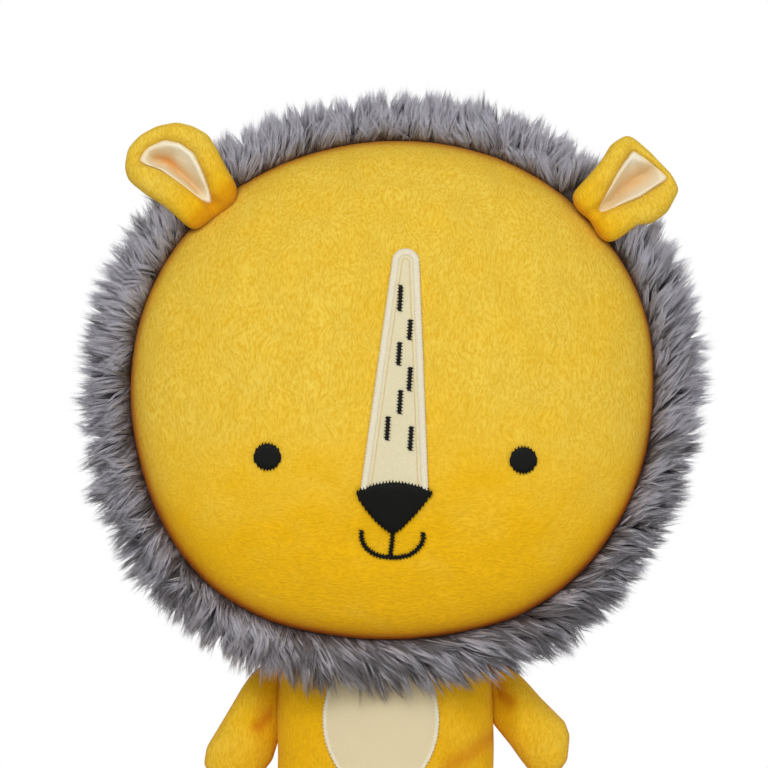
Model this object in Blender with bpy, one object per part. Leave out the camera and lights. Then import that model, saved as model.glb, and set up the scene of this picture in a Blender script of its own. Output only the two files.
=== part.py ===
"""A sitting plush lion: a big round cushion of a head in a fur mane, on a small soft body.

The head's front faces -Y, the lion's left is +X and +Z is up. The origin is on the seat, where
the body rests on a table. Lengths are in metres.
"""

import math

import bmesh
import bpy
from mathutils import Matrix, Vector

# Cloth, thread and clearances
MINKY = 0.0018  # short pile cloth, backing and pile together
LINING = 0.0010  # cream minky inside an ear
APPLIQUE = 0.0012  # cream minky of a sewn-on patch
SATIN = 0.0009  # height of a bed of satin stitch
GAP = 0.0003  # between pieces that lie against each other
FLAT_CUT = 0.0005  # how deep the form is cut flat where it rests
TINY = 0.00002  # points this close are one point

# Head: two round panels sewn edge to edge, with the mane between them
HEAD_WIDTH = 0.158
HEAD_HEIGHT = 0.151
HEAD_SQUARENESS_POWER = 2.3
FACE_CROWN = 0.028
NAPE_CROWN = 0.036
HEAD_CROWN_POWER = 2.5
HEAD_SOFTNESS_POWER = 0.62
FACE_CENTRE_HEIGHT = 0.146
HEAD_AHEAD = 0.020  # the head's seam plane, ahead of the seat's middle
HEAD_SHIFT = 0.002  # hand-set a little to the lion's left
HEAD_SEGMENTS = 40
HEAD_RINGS = 12

# Mane: a folded strip of fur cloth, caught in the head's seam
MANE_REACH = 0.0155  # beyond the head's seam
MANE_TUFT = 0.0010  # how far a tuft stands in or out of the mean outline
MANE_HALF_DEPTH = 0.0090
MANE_FLANGE = 0.0012  # the strip's cloth in the seam
MANE_SEGMENTS = 60
# Along the section from the seam outward: share of the reach, share of the half depth
MANE_SECTION_shares = ((0.22, 0.62), (0.55, 1.00), (0.86, 0.68))
MANE_BACK_FREE_ANGLE = 36  # each side of straight down the fur lies ahead of the chest
MANE_BACK_FULL_ANGLE = 54
EAR_NOTCH_ANGLE = 12  # each side of an ear the fur lies behind it
EAR_NOTCH_END_ANGLE = 20

# Ears: an outer and a lining, curled forward and pinched at the base
EAR_LENGTH = 0.029
EAR_BASE_HALF_WIDTH = 0.0092
EAR_HALF_WIDTH = 0.0140
EAR_HALF_DEPTH = 0.0062
EAR_BASE_HALF_DEPTH = 0.0037
EAR_RIM = 0.0018  # how far the outer stands past the lining
EAR_SWELL_share = 0.55  # of its length, over which it widens
EAR_TIP_NARROWING_share = 0.12
EAR_CORNER_POWER = 2
EAR_CORNER_share = 0.68  # how much shorter the ear is at its side edges
EAR_MOUTH_ANGLE = -25  # towards the ear's outer side
EAR_MOUTH_HALF_ANGLES = (8, 46)  # at the base and at the tip
EAR_STEPS = (12, 7)
EAR_SEAT_ANGLES = {"left": 41.5, "right": 134.0}
EAR_LEAN_ANGLES = {"left": 44.5, "right": 127.5}

# Face embroidery, with places measured from the middle of the face
EYE_DIAMETER = 0.0084
EYE_SPACING = 0.0760
EYE_SHIFT = 0.0010  # of both eyes, to the lion's left
EYE_DROP = 0.0197
EYE_STEPS = (16, 4)
BLAZE_TOP = 0.0389
BLAZE_TOP_WIDTH = 0.0083
BLAZE_FOOT = -0.0273
BLAZE_FOOT_WIDTH = 0.0200
BLAZE_MIDDLE = 0.0024
BLAZE_LEAN = 0.0033  # its top leans to the lion's left of its foot
BLAZE_BORDER = 0.0021
BLAZE_SIDE_share = 0.35  # of the border's steps, up each side
BLAZE_ROUNDING_POWER = 8
BLAZE_STEPS = (4, 12)
BLAZE_BORDER_STEPS = 20
DASH_WIDTH = 0.0015
DASH_LENGTH = 0.0071
DASH_LEAN = 0.0006
STRAIGHT_STEPS = 2  # along a dash or a straight line
# Each dash: place across and up
DASH_PLACES = (
    (0.0026, 0.0285),
    (0.0054, 0.0190),
    (0.0021, 0.0117),
    (0.0053, 0.0043),
    (0.0023, -0.0027),
    (-0.0013, -0.0104),
    (0.0057, -0.0136),
)
NOSE_WIDTH = 0.0225
NOSE_TOP = -0.0298
NOSE_ARCH = 0.0028
NOSE_TIP = -0.0420
NOSE_TIP_WIDTH = 0.0014
NOSE_SIDE_POWERS = (1.7, 0.8)  # how full its sides are
NOSE_STEPS = (5, 6)
LINE_WIDTH = 0.0014
MOUTH_WIDTH = 0.0180
MOUTH_TOP = -0.0415
MOUTH_DEPTH = 0.0088
MOUTH_POWER = 3.0
MOUTH_STEPS = 20

# Torso: a pear-shaped front and back panel, with a round neck sewn into the head
TORSO_WIDTH = 0.066
TORSO_DEPTH = 0.045
TORSO_WIDEST_HEIGHT = 0.025
TORSO_NARROWING_share = 0.10
TORSO_THINNING_share = 0.27
TORSO_THINNING_RUN = 0.035
SEAT_ROUNDING = 0.011
SEAT_ROUNDING_POWER = 3.4
SEAT_MIDDLE = -0.004  # the side seams at the seat, the chest and the neck
CHEST_MIDDLE = 0.002
NECK_MIDDLE = -0.005
LEAN_HEIGHT = 0.055
SHOULDER_HEIGHT = 0.060
NECK_HEIGHT = 0.082  # the middle of the neck's round end, on the axis that the head nods about
NECK_RADIUS = 0.0145
NECK_HALF_WIDTH = 0.021
THROAT_DROP = 0.0115  # from that middle to where the round end meets the shoulders
SOCKET_GAP = 0.0007  # round the neck's end, where its seam stands a little proud
SOCKET_SIDE_GAP = 0.0040
TORSO_SEGMENTS = 24
# Heights of the rings of points from the seat's middle to the throat, of the throat's height
TORSO_RING_shares = (0, 0, 0.04, 0.12, 0.24, 0.40, 0.56, 0.70, 0.82, 0.89, 0.95, 1)
NECK_RINGS = 4  # above the throat

# Belly patch
BELLY_WIDTH = 0.0354
BELLY_HEIGHT = 0.0430
BELLY_MIDDLE_HEIGHT = 0.0470
BELLY_SHIFT = -0.0014
BELLY_BORDER = 0.0024
BELLY_STEPS = (20, 8)
BELLY_BORDER_STEPS = 28
BELLY_LIFT = 0.0006  # it bridges the hollow under the neck

# Arms: short paddles sewn into the side seams
ARM_LENGTH = 0.040
ARM_WIDTH = 0.0185
ARM_THICKNESS = 0.013
ARM_SQUARENESS_POWER = 2.5
ARM_HEIGHT = 0.050  # where the hinge line touches the side seam
ARM_CENTRE_HEIGHT = {"left": 0.0465, "right": 0.0446}
ARM_CENTRE_OUT = {"left": 0.0420, "right": 0.0396}
ARM_DROP_ANGLES = {"left": 39, "right": 25}  # from straight down

# Legs: longer paddles sewn into the front of the seat
LEG_LENGTH = 0.050
LEG_WIDTH = 0.025
LEG_THICKNESS = 0.020
LEG_SQUARENESS_POWER = 2.7
LEG_SPACING = 0.034
LEG_BURY_share = 0.10  # of the length, left off where the root is sewn flat

LIMB_CROWN_POWER = 2.0
LIMB_SOFTNESS_POWER = 0.62
ROOT_TAPER = 0.009  # over which a limb flattens to its seam
ROOT_FLATNESS_share = 0.30
LIMB_SEGMENTS = 20
LIMB_RINGS = 6

# Tail: a thin stuffed tube with a tuft of the mane's fur
TAIL_LENGTH = 0.055
TAIL_RADIUS = 0.0048
TAIL_ROOT_RADIUS = 0.0022
TAIL_ROOT_HEIGHT = 0.012
TAIL_SWAY = 0.010
TAIL_SWELL_share = 0.25  # of its length, over which it swells from its root
TAIL_END_ROUNDING = 0.0025
TUFT_LENGTH = 0.024
TUFT_RADIUS = 0.0085
TUFT_TAPER_share = 0.35  # how much wider it is at the tail than at its tip
TUFT_BLUNT_share = 0.45  # its end at the tail is this much of the length of its other half
TAIL_SEGMENTS = 12
TAIL_RINGS = 10

YELLOW = (0.70, 0.36, 0.02, 1)
CREAM = (0.75, 0.64, 0.44, 1)
GREY_FUR = (0.17, 0.155, 0.16, 1)
BLACK = (0.012, 0.012, 0.010, 1)
PALE_THREAD = (0.80, 0.73, 0.58, 1)
WHITE_FILL = (0.85, 0.85, 0.83, 1)
CLOTH_ROUGHNESS = 0.9
THREAD_ROUGHNESS = 0.5

SEAM_HALF = GAP / 2
THROAT_HEIGHT = NECK_HEIGHT - THROAT_DROP
THROAT_ANGLE = -math.asin(THROAT_DROP / NECK_RADIUS)
TORSO_RINGS = len(TORSO_RING_shares) - 1 + NECK_RINGS
HEAD_SEAM_HALF = MANE_FLANGE / 2 + GAP
NECK = Vector((0, NECK_MIDDLE, NECK_HEIGHT))
HEAD_CENTRE = Vector((HEAD_SHIFT, -HEAD_AHEAD, FACE_CENTRE_HEIGHT))


def clear_scene():
    for obj in list(bpy.data.objects):
        bpy.data.objects.remove(obj)


def smooth_step(share):
    share = min(max(share, 0), 1)
    return share * share * (3 - 2 * share)


def mix(low, high, share):
    return low + (high - low) * share


# Objects, hinges and materials


def finish(name, colour, roughness=CLOTH_ROUGHNESS):
    material = bpy.data.materials.new(name)
    material.use_nodes = True
    shader = material.node_tree.nodes["Principled BSDF"]
    shader.inputs["Base Color"].default_value = colour
    shader.inputs["Roughness"].default_value = roughness
    shader.inputs["Metallic"].default_value = 0
    return material


def add_piece(name, bm, colour, parent=None, place=None, roughness=CLOTH_ROUGHNESS):
    bm.normal_update()
    bmesh.ops.recalc_face_normals(bm, faces=bm.faces[:])
    mesh = bpy.data.meshes.new(name)
    bm.to_mesh(mesh)
    bm.free()
    mesh.shade_smooth()
    mesh.materials.append(finish(name, colour, roughness))
    piece = bpy.data.objects.new(name, mesh)
    bpy.context.collection.objects.link(piece)
    piece.parent = parent
    if place is not None:
        piece.location = place
    return piece


def add_hinge(name, matrix, parent=None):
    """An empty whose origin is on a joint's axis, turned to the frame that its pieces are modelled in."""
    hinge = bpy.data.objects.new(name, None)
    bpy.context.collection.objects.link(hinge)
    hinge.parent = parent
    hinge.matrix_basis = matrix
    return hinge


def frame_of(origin, across, ahead, up):
    """The matrix of a frame from its origin and its three axes."""
    matrix = Matrix((across, ahead, up)).transposed().to_4x4()
    matrix.translation = origin
    return matrix


# Forms


def squared_oval(angle, half_width, half_height, power):
    """How far a superellipse reaches in a direction."""
    across = abs(math.cos(angle)) / half_width
    up = abs(math.sin(angle)) / half_height
    return (across**power + up**power) ** (-1 / power)


def crown(share, power, softness):
    """A cushion's height, as a share of its crown, at a share of the way to its seam."""
    return max(0.0, 1 - min(share, 1) ** power) ** softness


def unit_ball(segments, rings, poles_ahead=True):
    """A ball of radius 1 with its poles on Y, or on Z."""
    turn = Matrix.Rotation(math.pi / 2, 4, "X") if poles_ahead else Matrix.Identity(4)
    bm = bmesh.new()
    bmesh.ops.create_uvsphere(
        bm, u_segments=segments, v_segments=rings, radius=1, matrix=turn
    )
    return bm


def keep_half(bm, side):
    """Keep the half of a unit ball on one side of Y = 0, open at the cut."""
    bmesh.ops.bisect_plane(
        bm,
        geom=bm.verts[:] + bm.edges[:] + bm.faces[:],
        dist=TINY,
        plane_co=(0, 0, 0),
        plane_no=(0, -side, 0),
        clear_outer=True,
    )


def thicken(bm, outer, inner):
    """Turn an open sheet into a closed wall: the sheet goes to the outer place, its copy to the inner."""
    copied = bmesh.ops.extrude_face_region(bm, geom=bm.faces[:], use_keep_orig=True)
    inside = {item for item in copied["geom"] if isinstance(item, bmesh.types.BMVert)}
    for vert in bm.verts:
        vert.co = inner(vert.co) if vert in inside else outer(vert.co)


def panel(segments, rings, poles_ahead, side, form):
    """One sewn panel: the form's skin on one side of its seam plane, a cloth's thickness deep."""
    bm = unit_ball(segments, rings, poles_ahead)
    keep_half(bm, side)
    thicken(bm, lambda unit: form(unit, 0, side), lambda unit: form(unit, MINKY, side))
    return bm


def filling(segments, rings, poles_ahead, form):
    """The stuffing: the form inside the cloth, whole."""
    bm = unit_ball(segments, rings, poles_ahead)
    for vert in bm.verts:
        vert.co = form(vert.co, MINKY + GAP, 0)
    return bm


def cushion(reach, front, back, seam_half, power, softness, lift=None):
    """A form sewn from two panels round an outline in the XZ plane, with its front towards -Y."""

    def place(unit, inset, side):
        share = min(math.hypot(unit.x, unit.z), 1)
        angle = math.atan2(unit.z, unit.x)
        radius = share * (reach(angle) - inset)
        x, z = radius * math.cos(angle), radius * math.sin(angle)
        ahead = side < 0 or (side == 0 and unit.y < 0)
        height = (front if ahead else back) - inset
        height *= crown(share, power, softness)
        if lift:
            height *= lift(x, z)
        y = height + (seam_half if side else 0)
        return Vector((x, -y if ahead else y, z))

    return place


def sheet(columns, rows, shape):
    """A flat sheet in the XZ plane from a grid, with shape giving each point from its shares."""
    bm = bmesh.new()
    bmesh.ops.create_grid(bm, x_segments=columns, y_segments=rows, size=1)
    for vert in bm.verts:
        x, z = shape(vert.co.x, (vert.co.y + 1) / 2)
        vert.co = Vector((x, 0, z))
    bmesh.ops.remove_doubles(bm, verts=bm.verts[:], dist=TINY)
    return bm


def round_sheet(segments, rings, shape):
    """A flat sheet in the XZ plane from a disc of rings."""
    bm = unit_ball(segments, rings)
    keep_half(bm, -1)
    for vert in bm.verts:
        x, z = shape(vert.co.x, vert.co.z)
        vert.co = Vector((x, 0, z))
    return bm


def lay_on(bm, surface, low, high):
    """Lay a flat sheet on a surface of the toy, between two heights above it."""
    thicken(
        bm,
        lambda flat: surface(flat.x, flat.z, high),
        lambda flat: surface(flat.x, flat.z, low),
    )


def stroke(path, width, steps):
    """A flat ribbon along a path that is given by a share of its length."""
    small = 0.5 / steps

    def shape(across, share):
        here = Vector(path(share))
        along = Vector(path(share + small)) - Vector(path(share - small))
        along.normalize()
        return here + Vector((-along.y, along.x)) * (across * width / 2)

    return sheet(1, steps, shape)


# Head


def head_reach(angle):
    return squared_oval(
        angle, HEAD_WIDTH / 2, HEAD_HEIGHT / 2, HEAD_SQUARENESS_POWER
    )


head_form = cushion(
    head_reach,
    FACE_CROWN,
    NAPE_CROWN,
    HEAD_SEAM_HALF,
    HEAD_CROWN_POWER,
    HEAD_SOFTNESS_POWER,
)


def face_height(x, z):
    share = math.hypot(x, z) / head_reach(math.atan2(z, x))
    height = FACE_CROWN * crown(share, HEAD_CROWN_POWER, HEAD_SOFTNESS_POWER)
    return HEAD_SEAM_HALF + height


def on_surface(height, x, z, lift):
    """A point above a surface that faces -Y, lifted along the surface's normal."""
    step = GAP
    slope_x = (height(x + step, z) - height(x - step, z)) / (2 * step)
    slope_z = (height(x, z + step) - height(x, z - step)) / (2 * step)
    normal = Vector((-slope_x, -1, -slope_z)).normalized()
    return Vector((x, -height(x, z), z)) + normal * lift


def on_face(x, z, lift):
    return on_surface(face_height, x, z, lift)


def angle_from(angle, middle):
    """Degrees between a direction and a middle direction."""
    return abs((math.degrees(angle) - middle + 180) % 360 - 180)


def mane_depths(angle):
    """Half depth of the fur ahead of the seam and behind it, in a direction."""
    ahead = MANE_HALF_DEPTH
    for seat in EAR_SEAT_ANGLES.values():
        apart = angle_from(angle, seat) - EAR_NOTCH_ANGLE
        ahead *= smooth_step(apart / (EAR_NOTCH_END_ANGLE - EAR_NOTCH_ANGLE))
    apart = angle_from(angle, -90) - MANE_BACK_FREE_ANGLE
    free = MANE_BACK_FULL_ANGLE - MANE_BACK_FREE_ANGLE
    behind = MANE_HALF_DEPTH * smooth_step(apart / free)
    return ahead, behind


def build_mane(parent, place):
    """The section is spun round a unit circle, then laid along the head's seam.

    A corner's depth is a share of the fur's there, and the flange's corners have none.
    """
    outer = [(share * MANE_REACH, depth) for share, depth in MANE_SECTION_shares]
    half = [(-MINKY, 0), (GAP, 0)] + outer
    section = [(out, -depth) for out, depth in half]
    section += [(MANE_REACH, 0)]
    section += [(out, depth) for out, depth in reversed(half)]
    bm = bmesh.new()
    corners = [bm.verts.new((1 + out, depth, 0)) for out, depth in section]
    edges = [bm.edges.new(pair) for pair in zip(corners, corners[1:] + corners[:1])]
    count = len(section)
    bmesh.ops.spin(
        bm,
        geom=corners + edges,
        cent=(0, 0, 0),
        axis=(0, 1, 0),
        angle=2 * math.pi,
        steps=MANE_SEGMENTS,
        use_merge=True,
    )
    bm.verts.ensure_lookup_table()
    for index, vert in enumerate(bm.verts):
        turn, corner = divmod(index, count)
        angle = -turn * 2 * math.pi / MANE_SEGMENTS
        out, depth = section[corner]
        ahead, behind = mane_depths(angle)
        tuft = MANE_TUFT if turn % 2 else -MANE_TUFT
        share = max(out, 0) / MANE_REACH
        radius = head_reach(angle) + out + tuft * share
        side = 1 if corner > count // 2 else -1
        half_depth = MANE_FLANGE / 2 + abs(depth) * (ahead if side < 0 else behind)
        y = 0 if corner == count // 2 else side * half_depth
        vert.co = Vector((radius * math.cos(angle), y, radius * math.sin(angle)))
    add_piece("mane_trim", bm, GREY_FUR, parent, place)


def cut_neck_socket(pieces, neck):
    """The neck's round end sits in the nape, and the cutter is that end with the gap round it."""
    bm = unit_ball(TORSO_SEGMENTS, TORSO_SEGMENTS // 2)
    radius = NECK_RADIUS + SOCKET_GAP
    size = Vector((NECK_HALF_WIDTH + SOCKET_SIDE_GAP, radius, radius))
    bmesh.ops.scale(bm, vec=size, verts=bm.verts[:])
    cutter = add_piece("neck_socket_cutter", bm, WHITE_FILL, neck)
    cutter.hide_render = True
    cutter.display_type = "WIRE"
    for piece in pieces:
        socket = piece.modifiers.new("neck_socket", "BOOLEAN")
        socket.operation = "DIFFERENCE"
        socket.solver = "EXACT"
        socket.object = cutter


def build_head(neck, place):
    size = (HEAD_SEGMENTS, HEAD_RINGS, True)
    add_piece("face_panel", panel(*size, -1, head_form), YELLOW, neck, place)
    nape = panel(*size, 1, head_form)
    nape = add_piece("head_back_panel", nape, YELLOW, neck, place)
    fill = filling(*size, head_form)
    fill = add_piece("head_stuffing", fill, WHITE_FILL, neck, place)
    cut_neck_socket((nape, fill), neck)
    build_mane(neck, place)


# Embroidery and appliqué of the face


def blaze_edge(share):
    """Half width and middle of the blaze, from its foot at 0 to its top at 1."""
    middle = BLAZE_LEAN * (share - 0.5) + BLAZE_MIDDLE
    return mix(BLAZE_FOOT_WIDTH, BLAZE_TOP_WIDTH, share) / 2, middle


def nose_top(across):
    return NOSE_TOP + NOSE_ARCH * (1 - across * across)


def blaze_path(share):
    """Up one edge from the foot, round the top, and down the other edge."""
    inset = BLAZE_BORDER / 2
    turn_share = (share - BLAZE_SIDE_share) / (1 - 2 * BLAZE_SIDE_share)
    if 0 < turn_share < 1:
        turn = math.pi * (1 - turn_share)
        half, middle = blaze_edge(1)
        radius = half - inset
        across, up = radius * math.cos(turn), radius * math.sin(turn)
        return middle + across, BLAZE_TOP + up
    side = -1 if turn_share <= 0 else 1
    rise = (share if side < 0 else 1 - share) / BLAZE_SIDE_share
    half, middle = blaze_edge(rise)
    return middle + side * (half - inset), mix(BLAZE_FOOT, BLAZE_TOP, rise)


def blaze_patch_shape(across, share):
    """The patch fills the border's inside, with a round top and a foot on the nose's arch."""
    inset = BLAZE_BORDER + GAP
    half, middle = blaze_edge(share)
    half -= inset
    top_half = blaze_edge(1)[0] - inset
    round_top = math.sqrt(max(0, 1 - across * across)) * top_half
    round_top *= share**BLAZE_ROUNDING_POWER
    foot = nose_top(0) + GAP
    return middle + across * half, mix(foot, BLAZE_TOP, share) + round_top


def build_blaze(neck, place):
    bm = stroke(blaze_path, BLAZE_BORDER, BLAZE_BORDER_STEPS)
    lay_on(bm, on_face, GAP, GAP + APPLIQUE + SATIN)
    add_piece("blaze_border", bm, PALE_THREAD, neck, place, THREAD_ROUGHNESS)
    bm = sheet(*BLAZE_STEPS, blaze_patch_shape)
    lay_on(bm, on_face, GAP, GAP + APPLIQUE)
    add_piece("blaze_patch", bm, CREAM, neck, place)
    low = GAP + APPLIQUE + GAP
    for number, (x, z) in enumerate(DASH_PLACES, 1):
        path = lambda share, x=x, z=z: (
            x + (share - 0.5) * DASH_LEAN,
            z + (share - 0.5) * DASH_LENGTH,
        )
        bm = stroke(path, DASH_WIDTH, STRAIGHT_STEPS)
        lay_on(bm, on_face, low, low + SATIN)
        name = f"blaze_dash_{number}"
        add_piece(name, bm, BLACK, neck, place, THREAD_ROUGHNESS)


def nose_shape(across, share):
    """A triangle with full sides, from its arched top at 0 to its blunt tip at 1."""
    inner, outer = NOSE_SIDE_POWERS
    half = NOSE_WIDTH / 2 * (1 - share**inner) ** outer
    half = max(half, NOSE_TIP_WIDTH / 2)
    return across * half, mix(nose_top(across), NOSE_TIP, share)


def mouth_path(share):
    across = 2 * min(max(share, 0), 1) - 1
    return across * MOUTH_WIDTH / 2, MOUTH_TOP - MOUTH_DEPTH * (
        1 - abs(across) ** MOUTH_POWER
    )


def line_path(share):
    top = NOSE_TIP - GAP
    foot = MOUTH_TOP - MOUTH_DEPTH + LINE_WIDTH / 2 + GAP
    return 0, mix(top, foot, share)


def build_features(neck, place):
    strokes = {
        "mouth_embroidery": stroke(mouth_path, LINE_WIDTH, MOUTH_STEPS),
        "nose_line_embroidery": stroke(line_path, LINE_WIDTH, STRAIGHT_STEPS),
        "nose_embroidery": sheet(*NOSE_STEPS, nose_shape),
    }
    for side, sign in (("left", 1), ("right", -1)):
        middle = EYE_SHIFT + sign * EYE_SPACING / 2
        radius = EYE_DIAMETER / 2
        strokes["eye_" + side] = round_sheet(
            *EYE_STEPS, lambda x, z: (middle + x * radius, z * radius - EYE_DROP)
        )
    for name, bm in strokes.items():
        lay_on(bm, on_face, GAP, GAP + SATIN)
        add_piece(name, bm, BLACK, neck, place, THREAD_ROUGHNESS)


# Ears


def ear_section(share, inset):
    """Half width and half depth of the curl, at a share of the ear's length."""
    swell = math.sin(min(share / EAR_SWELL_share, 1) * math.pi / 2)
    past = max(share - EAR_SWELL_share, 0) / (1 - EAR_SWELL_share)
    narrowing = 1 - EAR_TIP_NARROWING_share * past**2
    half_width = mix(EAR_BASE_HALF_WIDTH, EAR_HALF_WIDTH, swell) * narrowing - inset
    half_depth = mix(EAR_BASE_HALF_DEPTH, EAR_HALF_DEPTH, swell) - inset
    return half_width, half_depth


def ear_place(across, share, inset, rim, inward):
    """A point of the ear: across runs round the curl from one edge to the other."""
    share *= 1 - rim / EAR_LENGTH
    base_angle, tip_angle = EAR_MOUTH_HALF_ANGLES
    half_wall = 180 - mix(base_angle, tip_angle, share)
    across *= 1 - math.degrees(rim / EAR_HALF_WIDTH) / half_wall
    turn = math.radians(EAR_MOUTH_ANGLE + 180 + across * half_wall)
    up = EAR_LENGTH * share * (1 - EAR_CORNER_share * abs(across) ** EAR_CORNER_POWER)
    half_width, half_depth = ear_section(share, inset)
    x = inward * half_width * math.sin(turn)
    ahead = half_depth * math.cos(turn) + ear_section(share, 0)[1]
    return Vector((x, -ahead, up))


def ear_wall(outer_inset, inner_inset, rim, inward):
    bm = bmesh.new()
    columns, rows = EAR_STEPS
    bmesh.ops.create_grid(bm, x_segments=columns, y_segments=rows, size=1)
    thicken(
        bm,
        lambda unit: ear_place(unit.x, (unit.y + 1) / 2, outer_inset, rim, inward),
        lambda unit: ear_place(unit.x, (unit.y + 1) / 2, inner_inset, rim, inward),
    )
    return bm


def build_ears(neck):
    for side, inward in (("left", -1), ("right", 1)):
        seat = math.radians(EAR_SEAT_ANGLES[side])
        lean = math.radians(EAR_LEAN_ANGLES[side])
        radius = head_reach(seat) + GAP
        origin = HEAD_CENTRE - NECK
        origin += Vector((radius * math.cos(seat), 0, radius * math.sin(seat)))
        origin.y -= HEAD_SEAM_HALF
        up = Vector((math.cos(lean), 0, math.sin(lean)))
        across = Vector((math.sin(lean), 0, -math.cos(lean)))
        ahead = Vector((0, 1, 0))
        hinge = add_hinge(
            f"ear_{side}_hinge", frame_of(origin, across, ahead, up), neck
        )
        bm = ear_wall(0, MINKY, 0, inward)
        add_piece(f"ear_{side}_outer", bm, YELLOW, hinge)
        bm = ear_wall(MINKY + GAP, MINKY + GAP + LINING, EAR_RIM, inward)
        add_piece(f"ear_{side}_lining", bm, CREAM, hinge)


# Torso


def neck_section(angle):
    """Half depth and middle of the neck at an angle up from the level of its axis.

    Below that level its front is round, and its back comes straight up from the shoulders.
    """
    ahead = NECK_RADIUS * math.cos(angle)
    behind = NECK_RADIUS * math.cos(max(angle, 0))
    return (ahead + behind) / 2, NECK_MIDDLE + (behind - ahead) / 2


def torso_section(height):
    """Half width, half depth and middle of the torso at a height below the throat."""
    above = (height - TORSO_WIDEST_HEIGHT) / (NECK_HEIGHT - TORSO_WIDEST_HEIGHT)
    half_width = TORSO_WIDTH / 2 * (1 - TORSO_NARROWING_share * max(above, 0) ** 2)
    thinning = smooth_step((height - TORSO_WIDEST_HEIGHT) / TORSO_THINNING_RUN)
    half_depth = TORSO_DEPTH / 2 * (1 - TORSO_THINNING_share * thinning)
    shoulder = (height - SHOULDER_HEIGHT) / (THROAT_HEIGHT - SHOULDER_HEIGHT)
    shoulder = smooth_step(shoulder)
    throat_half_depth, throat_middle = neck_section(THROAT_ANGLE)
    half_width = mix(half_width, NECK_HALF_WIDTH, shoulder)
    half_depth = mix(half_depth, throat_half_depth, shoulder)
    rise = min(max((height + FLAT_CUT) / SEAT_ROUNDING, 0), 1)
    rounding = (1 - (1 - rise) ** SEAT_ROUNDING_POWER) ** (1 / SEAT_ROUNDING_POWER)
    middle = mix(SEAT_MIDDLE, CHEST_MIDDLE, smooth_step(height / LEAN_HEIGHT))
    middle = mix(middle, throat_middle, shoulder)
    return half_width * rounding, half_depth * rounding, middle


def torso_ring(number):
    """Height, half width, half depth and middle of a ring of points, from 0 at the seat's middle."""
    last = len(TORSO_RING_shares) - 1
    if number <= last:
        height = TORSO_RING_shares[number] * THROAT_HEIGHT
        half_width, half_depth, middle = torso_section(height)
        if number == 0:
            half_width = half_depth = 0
        return height, half_width, half_depth, middle
    angle = mix(THROAT_ANGLE, math.pi / 2, (number - last) / NECK_RINGS)
    half_depth, middle = neck_section(angle)
    half_width = NECK_HALF_WIDTH * math.cos(max(angle, 0))
    height = NECK_HEIGHT + NECK_RADIUS * math.sin(angle)
    return height, half_width, half_depth, middle


def torso_form(unit, inset, side):
    """The torso's form on a unit ball with its poles on Z."""
    share = math.asin(min(max(unit.z, -1), 1)) / math.pi + 0.5
    ring = torso_ring(round(share * TORSO_RINGS))
    height, half_width, half_depth, middle = ring
    half_width *= 1 - inset / max(half_width, NECK_RADIUS)
    half_depth *= 1 - inset / max(half_depth, NECK_RADIUS)
    around = math.hypot(unit.x, unit.y)
    x = half_width * unit.x / around if around > TINY else 0
    y = half_depth * unit.y / around if around > TINY else 0
    height += inset * (1 - 2 * height / (NECK_HEIGHT + NECK_RADIUS))
    return Vector((x, middle + y + side * SEAM_HALF, max(height, inset)))


def chest_height(x, z):
    """How far the torso's front stands ahead of the origin."""
    half_width, half_depth, middle = torso_section(z)
    across = min(abs(x) / half_width, 1)
    return half_depth * math.sqrt(1 - across * across) + SEAM_HALF - middle


def on_chest(x, z, lift):
    return on_surface(chest_height, x, z, lift)


def build_torso():
    size = (TORSO_SEGMENTS, TORSO_RINGS, False)
    add_piece("torso_front_panel", panel(*size, -1, torso_form), YELLOW)
    add_piece("torso_back_panel", panel(*size, 1, torso_form), YELLOW)
    add_piece("torso_stuffing", filling(*size, torso_form), WHITE_FILL)


def build_belly():
    half_width = BELLY_WIDTH / 2 - BELLY_BORDER - GAP
    half_height = BELLY_HEIGHT / 2 - BELLY_BORDER - GAP
    bm = round_sheet(
        *BELLY_STEPS,
        lambda x, z: (
            BELLY_SHIFT + x * half_width,
            BELLY_MIDDLE_HEIGHT + z * half_height,
        ),
    )
    lay_on(bm, on_chest, BELLY_LIFT, BELLY_LIFT + APPLIQUE)
    add_piece("belly_patch", bm, CREAM)

    def path(share):
        turn = 2 * math.pi * share
        inset = BELLY_BORDER / 2
        return (
            BELLY_SHIFT + (BELLY_WIDTH / 2 - inset) * math.cos(turn),
            BELLY_MIDDLE_HEIGHT + (BELLY_HEIGHT / 2 - inset) * math.sin(turn),
        )

    bm = stroke(path, BELLY_BORDER, BELLY_BORDER_STEPS)
    lay_on(bm, on_chest, BELLY_LIFT, BELLY_LIFT + APPLIQUE + SATIN)
    add_piece("belly_border", bm, PALE_THREAD, roughness=THREAD_ROUGHNESS)


# Limbs, modelled with the hinge line on X, the limb towards -Z and its front towards -Y


def root_lift(root_height):
    """A limb flattens towards the straight edge that is sewn into the seam."""

    def lift(_, z):
        away = (root_height - z) / ROOT_TAPER
        return mix(ROOT_FLATNESS_share, 1, smooth_step(away))

    return lift


def limb_reach(root_height, half_length, half_width, tilt, power):
    """An oval cut by the hinge line, seen from the oval's middle."""

    def reach(angle):
        oval = squared_oval(angle - tilt, half_width, half_length, power)
        rise = math.sin(angle)
        return min(oval, root_height / rise) if rise > 0 else oval

    return reach


def build_limb(name, hinge, middle, form, names):
    """The two panels and the filling of a limb, round the middle of its outline."""
    size = (LIMB_SEGMENTS, LIMB_RINGS, True)
    pieces = {
        names[0]: panel(*size, -1, form),
        names[1]: panel(*size, 1, form),
        "stuffing": filling(*size, form),
    }
    for part, bm in pieces.items():
        colour = WHITE_FILL if part == "stuffing" else YELLOW
        add_piece(f"{name}_{part}", bm, colour, hinge, middle)


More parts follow.
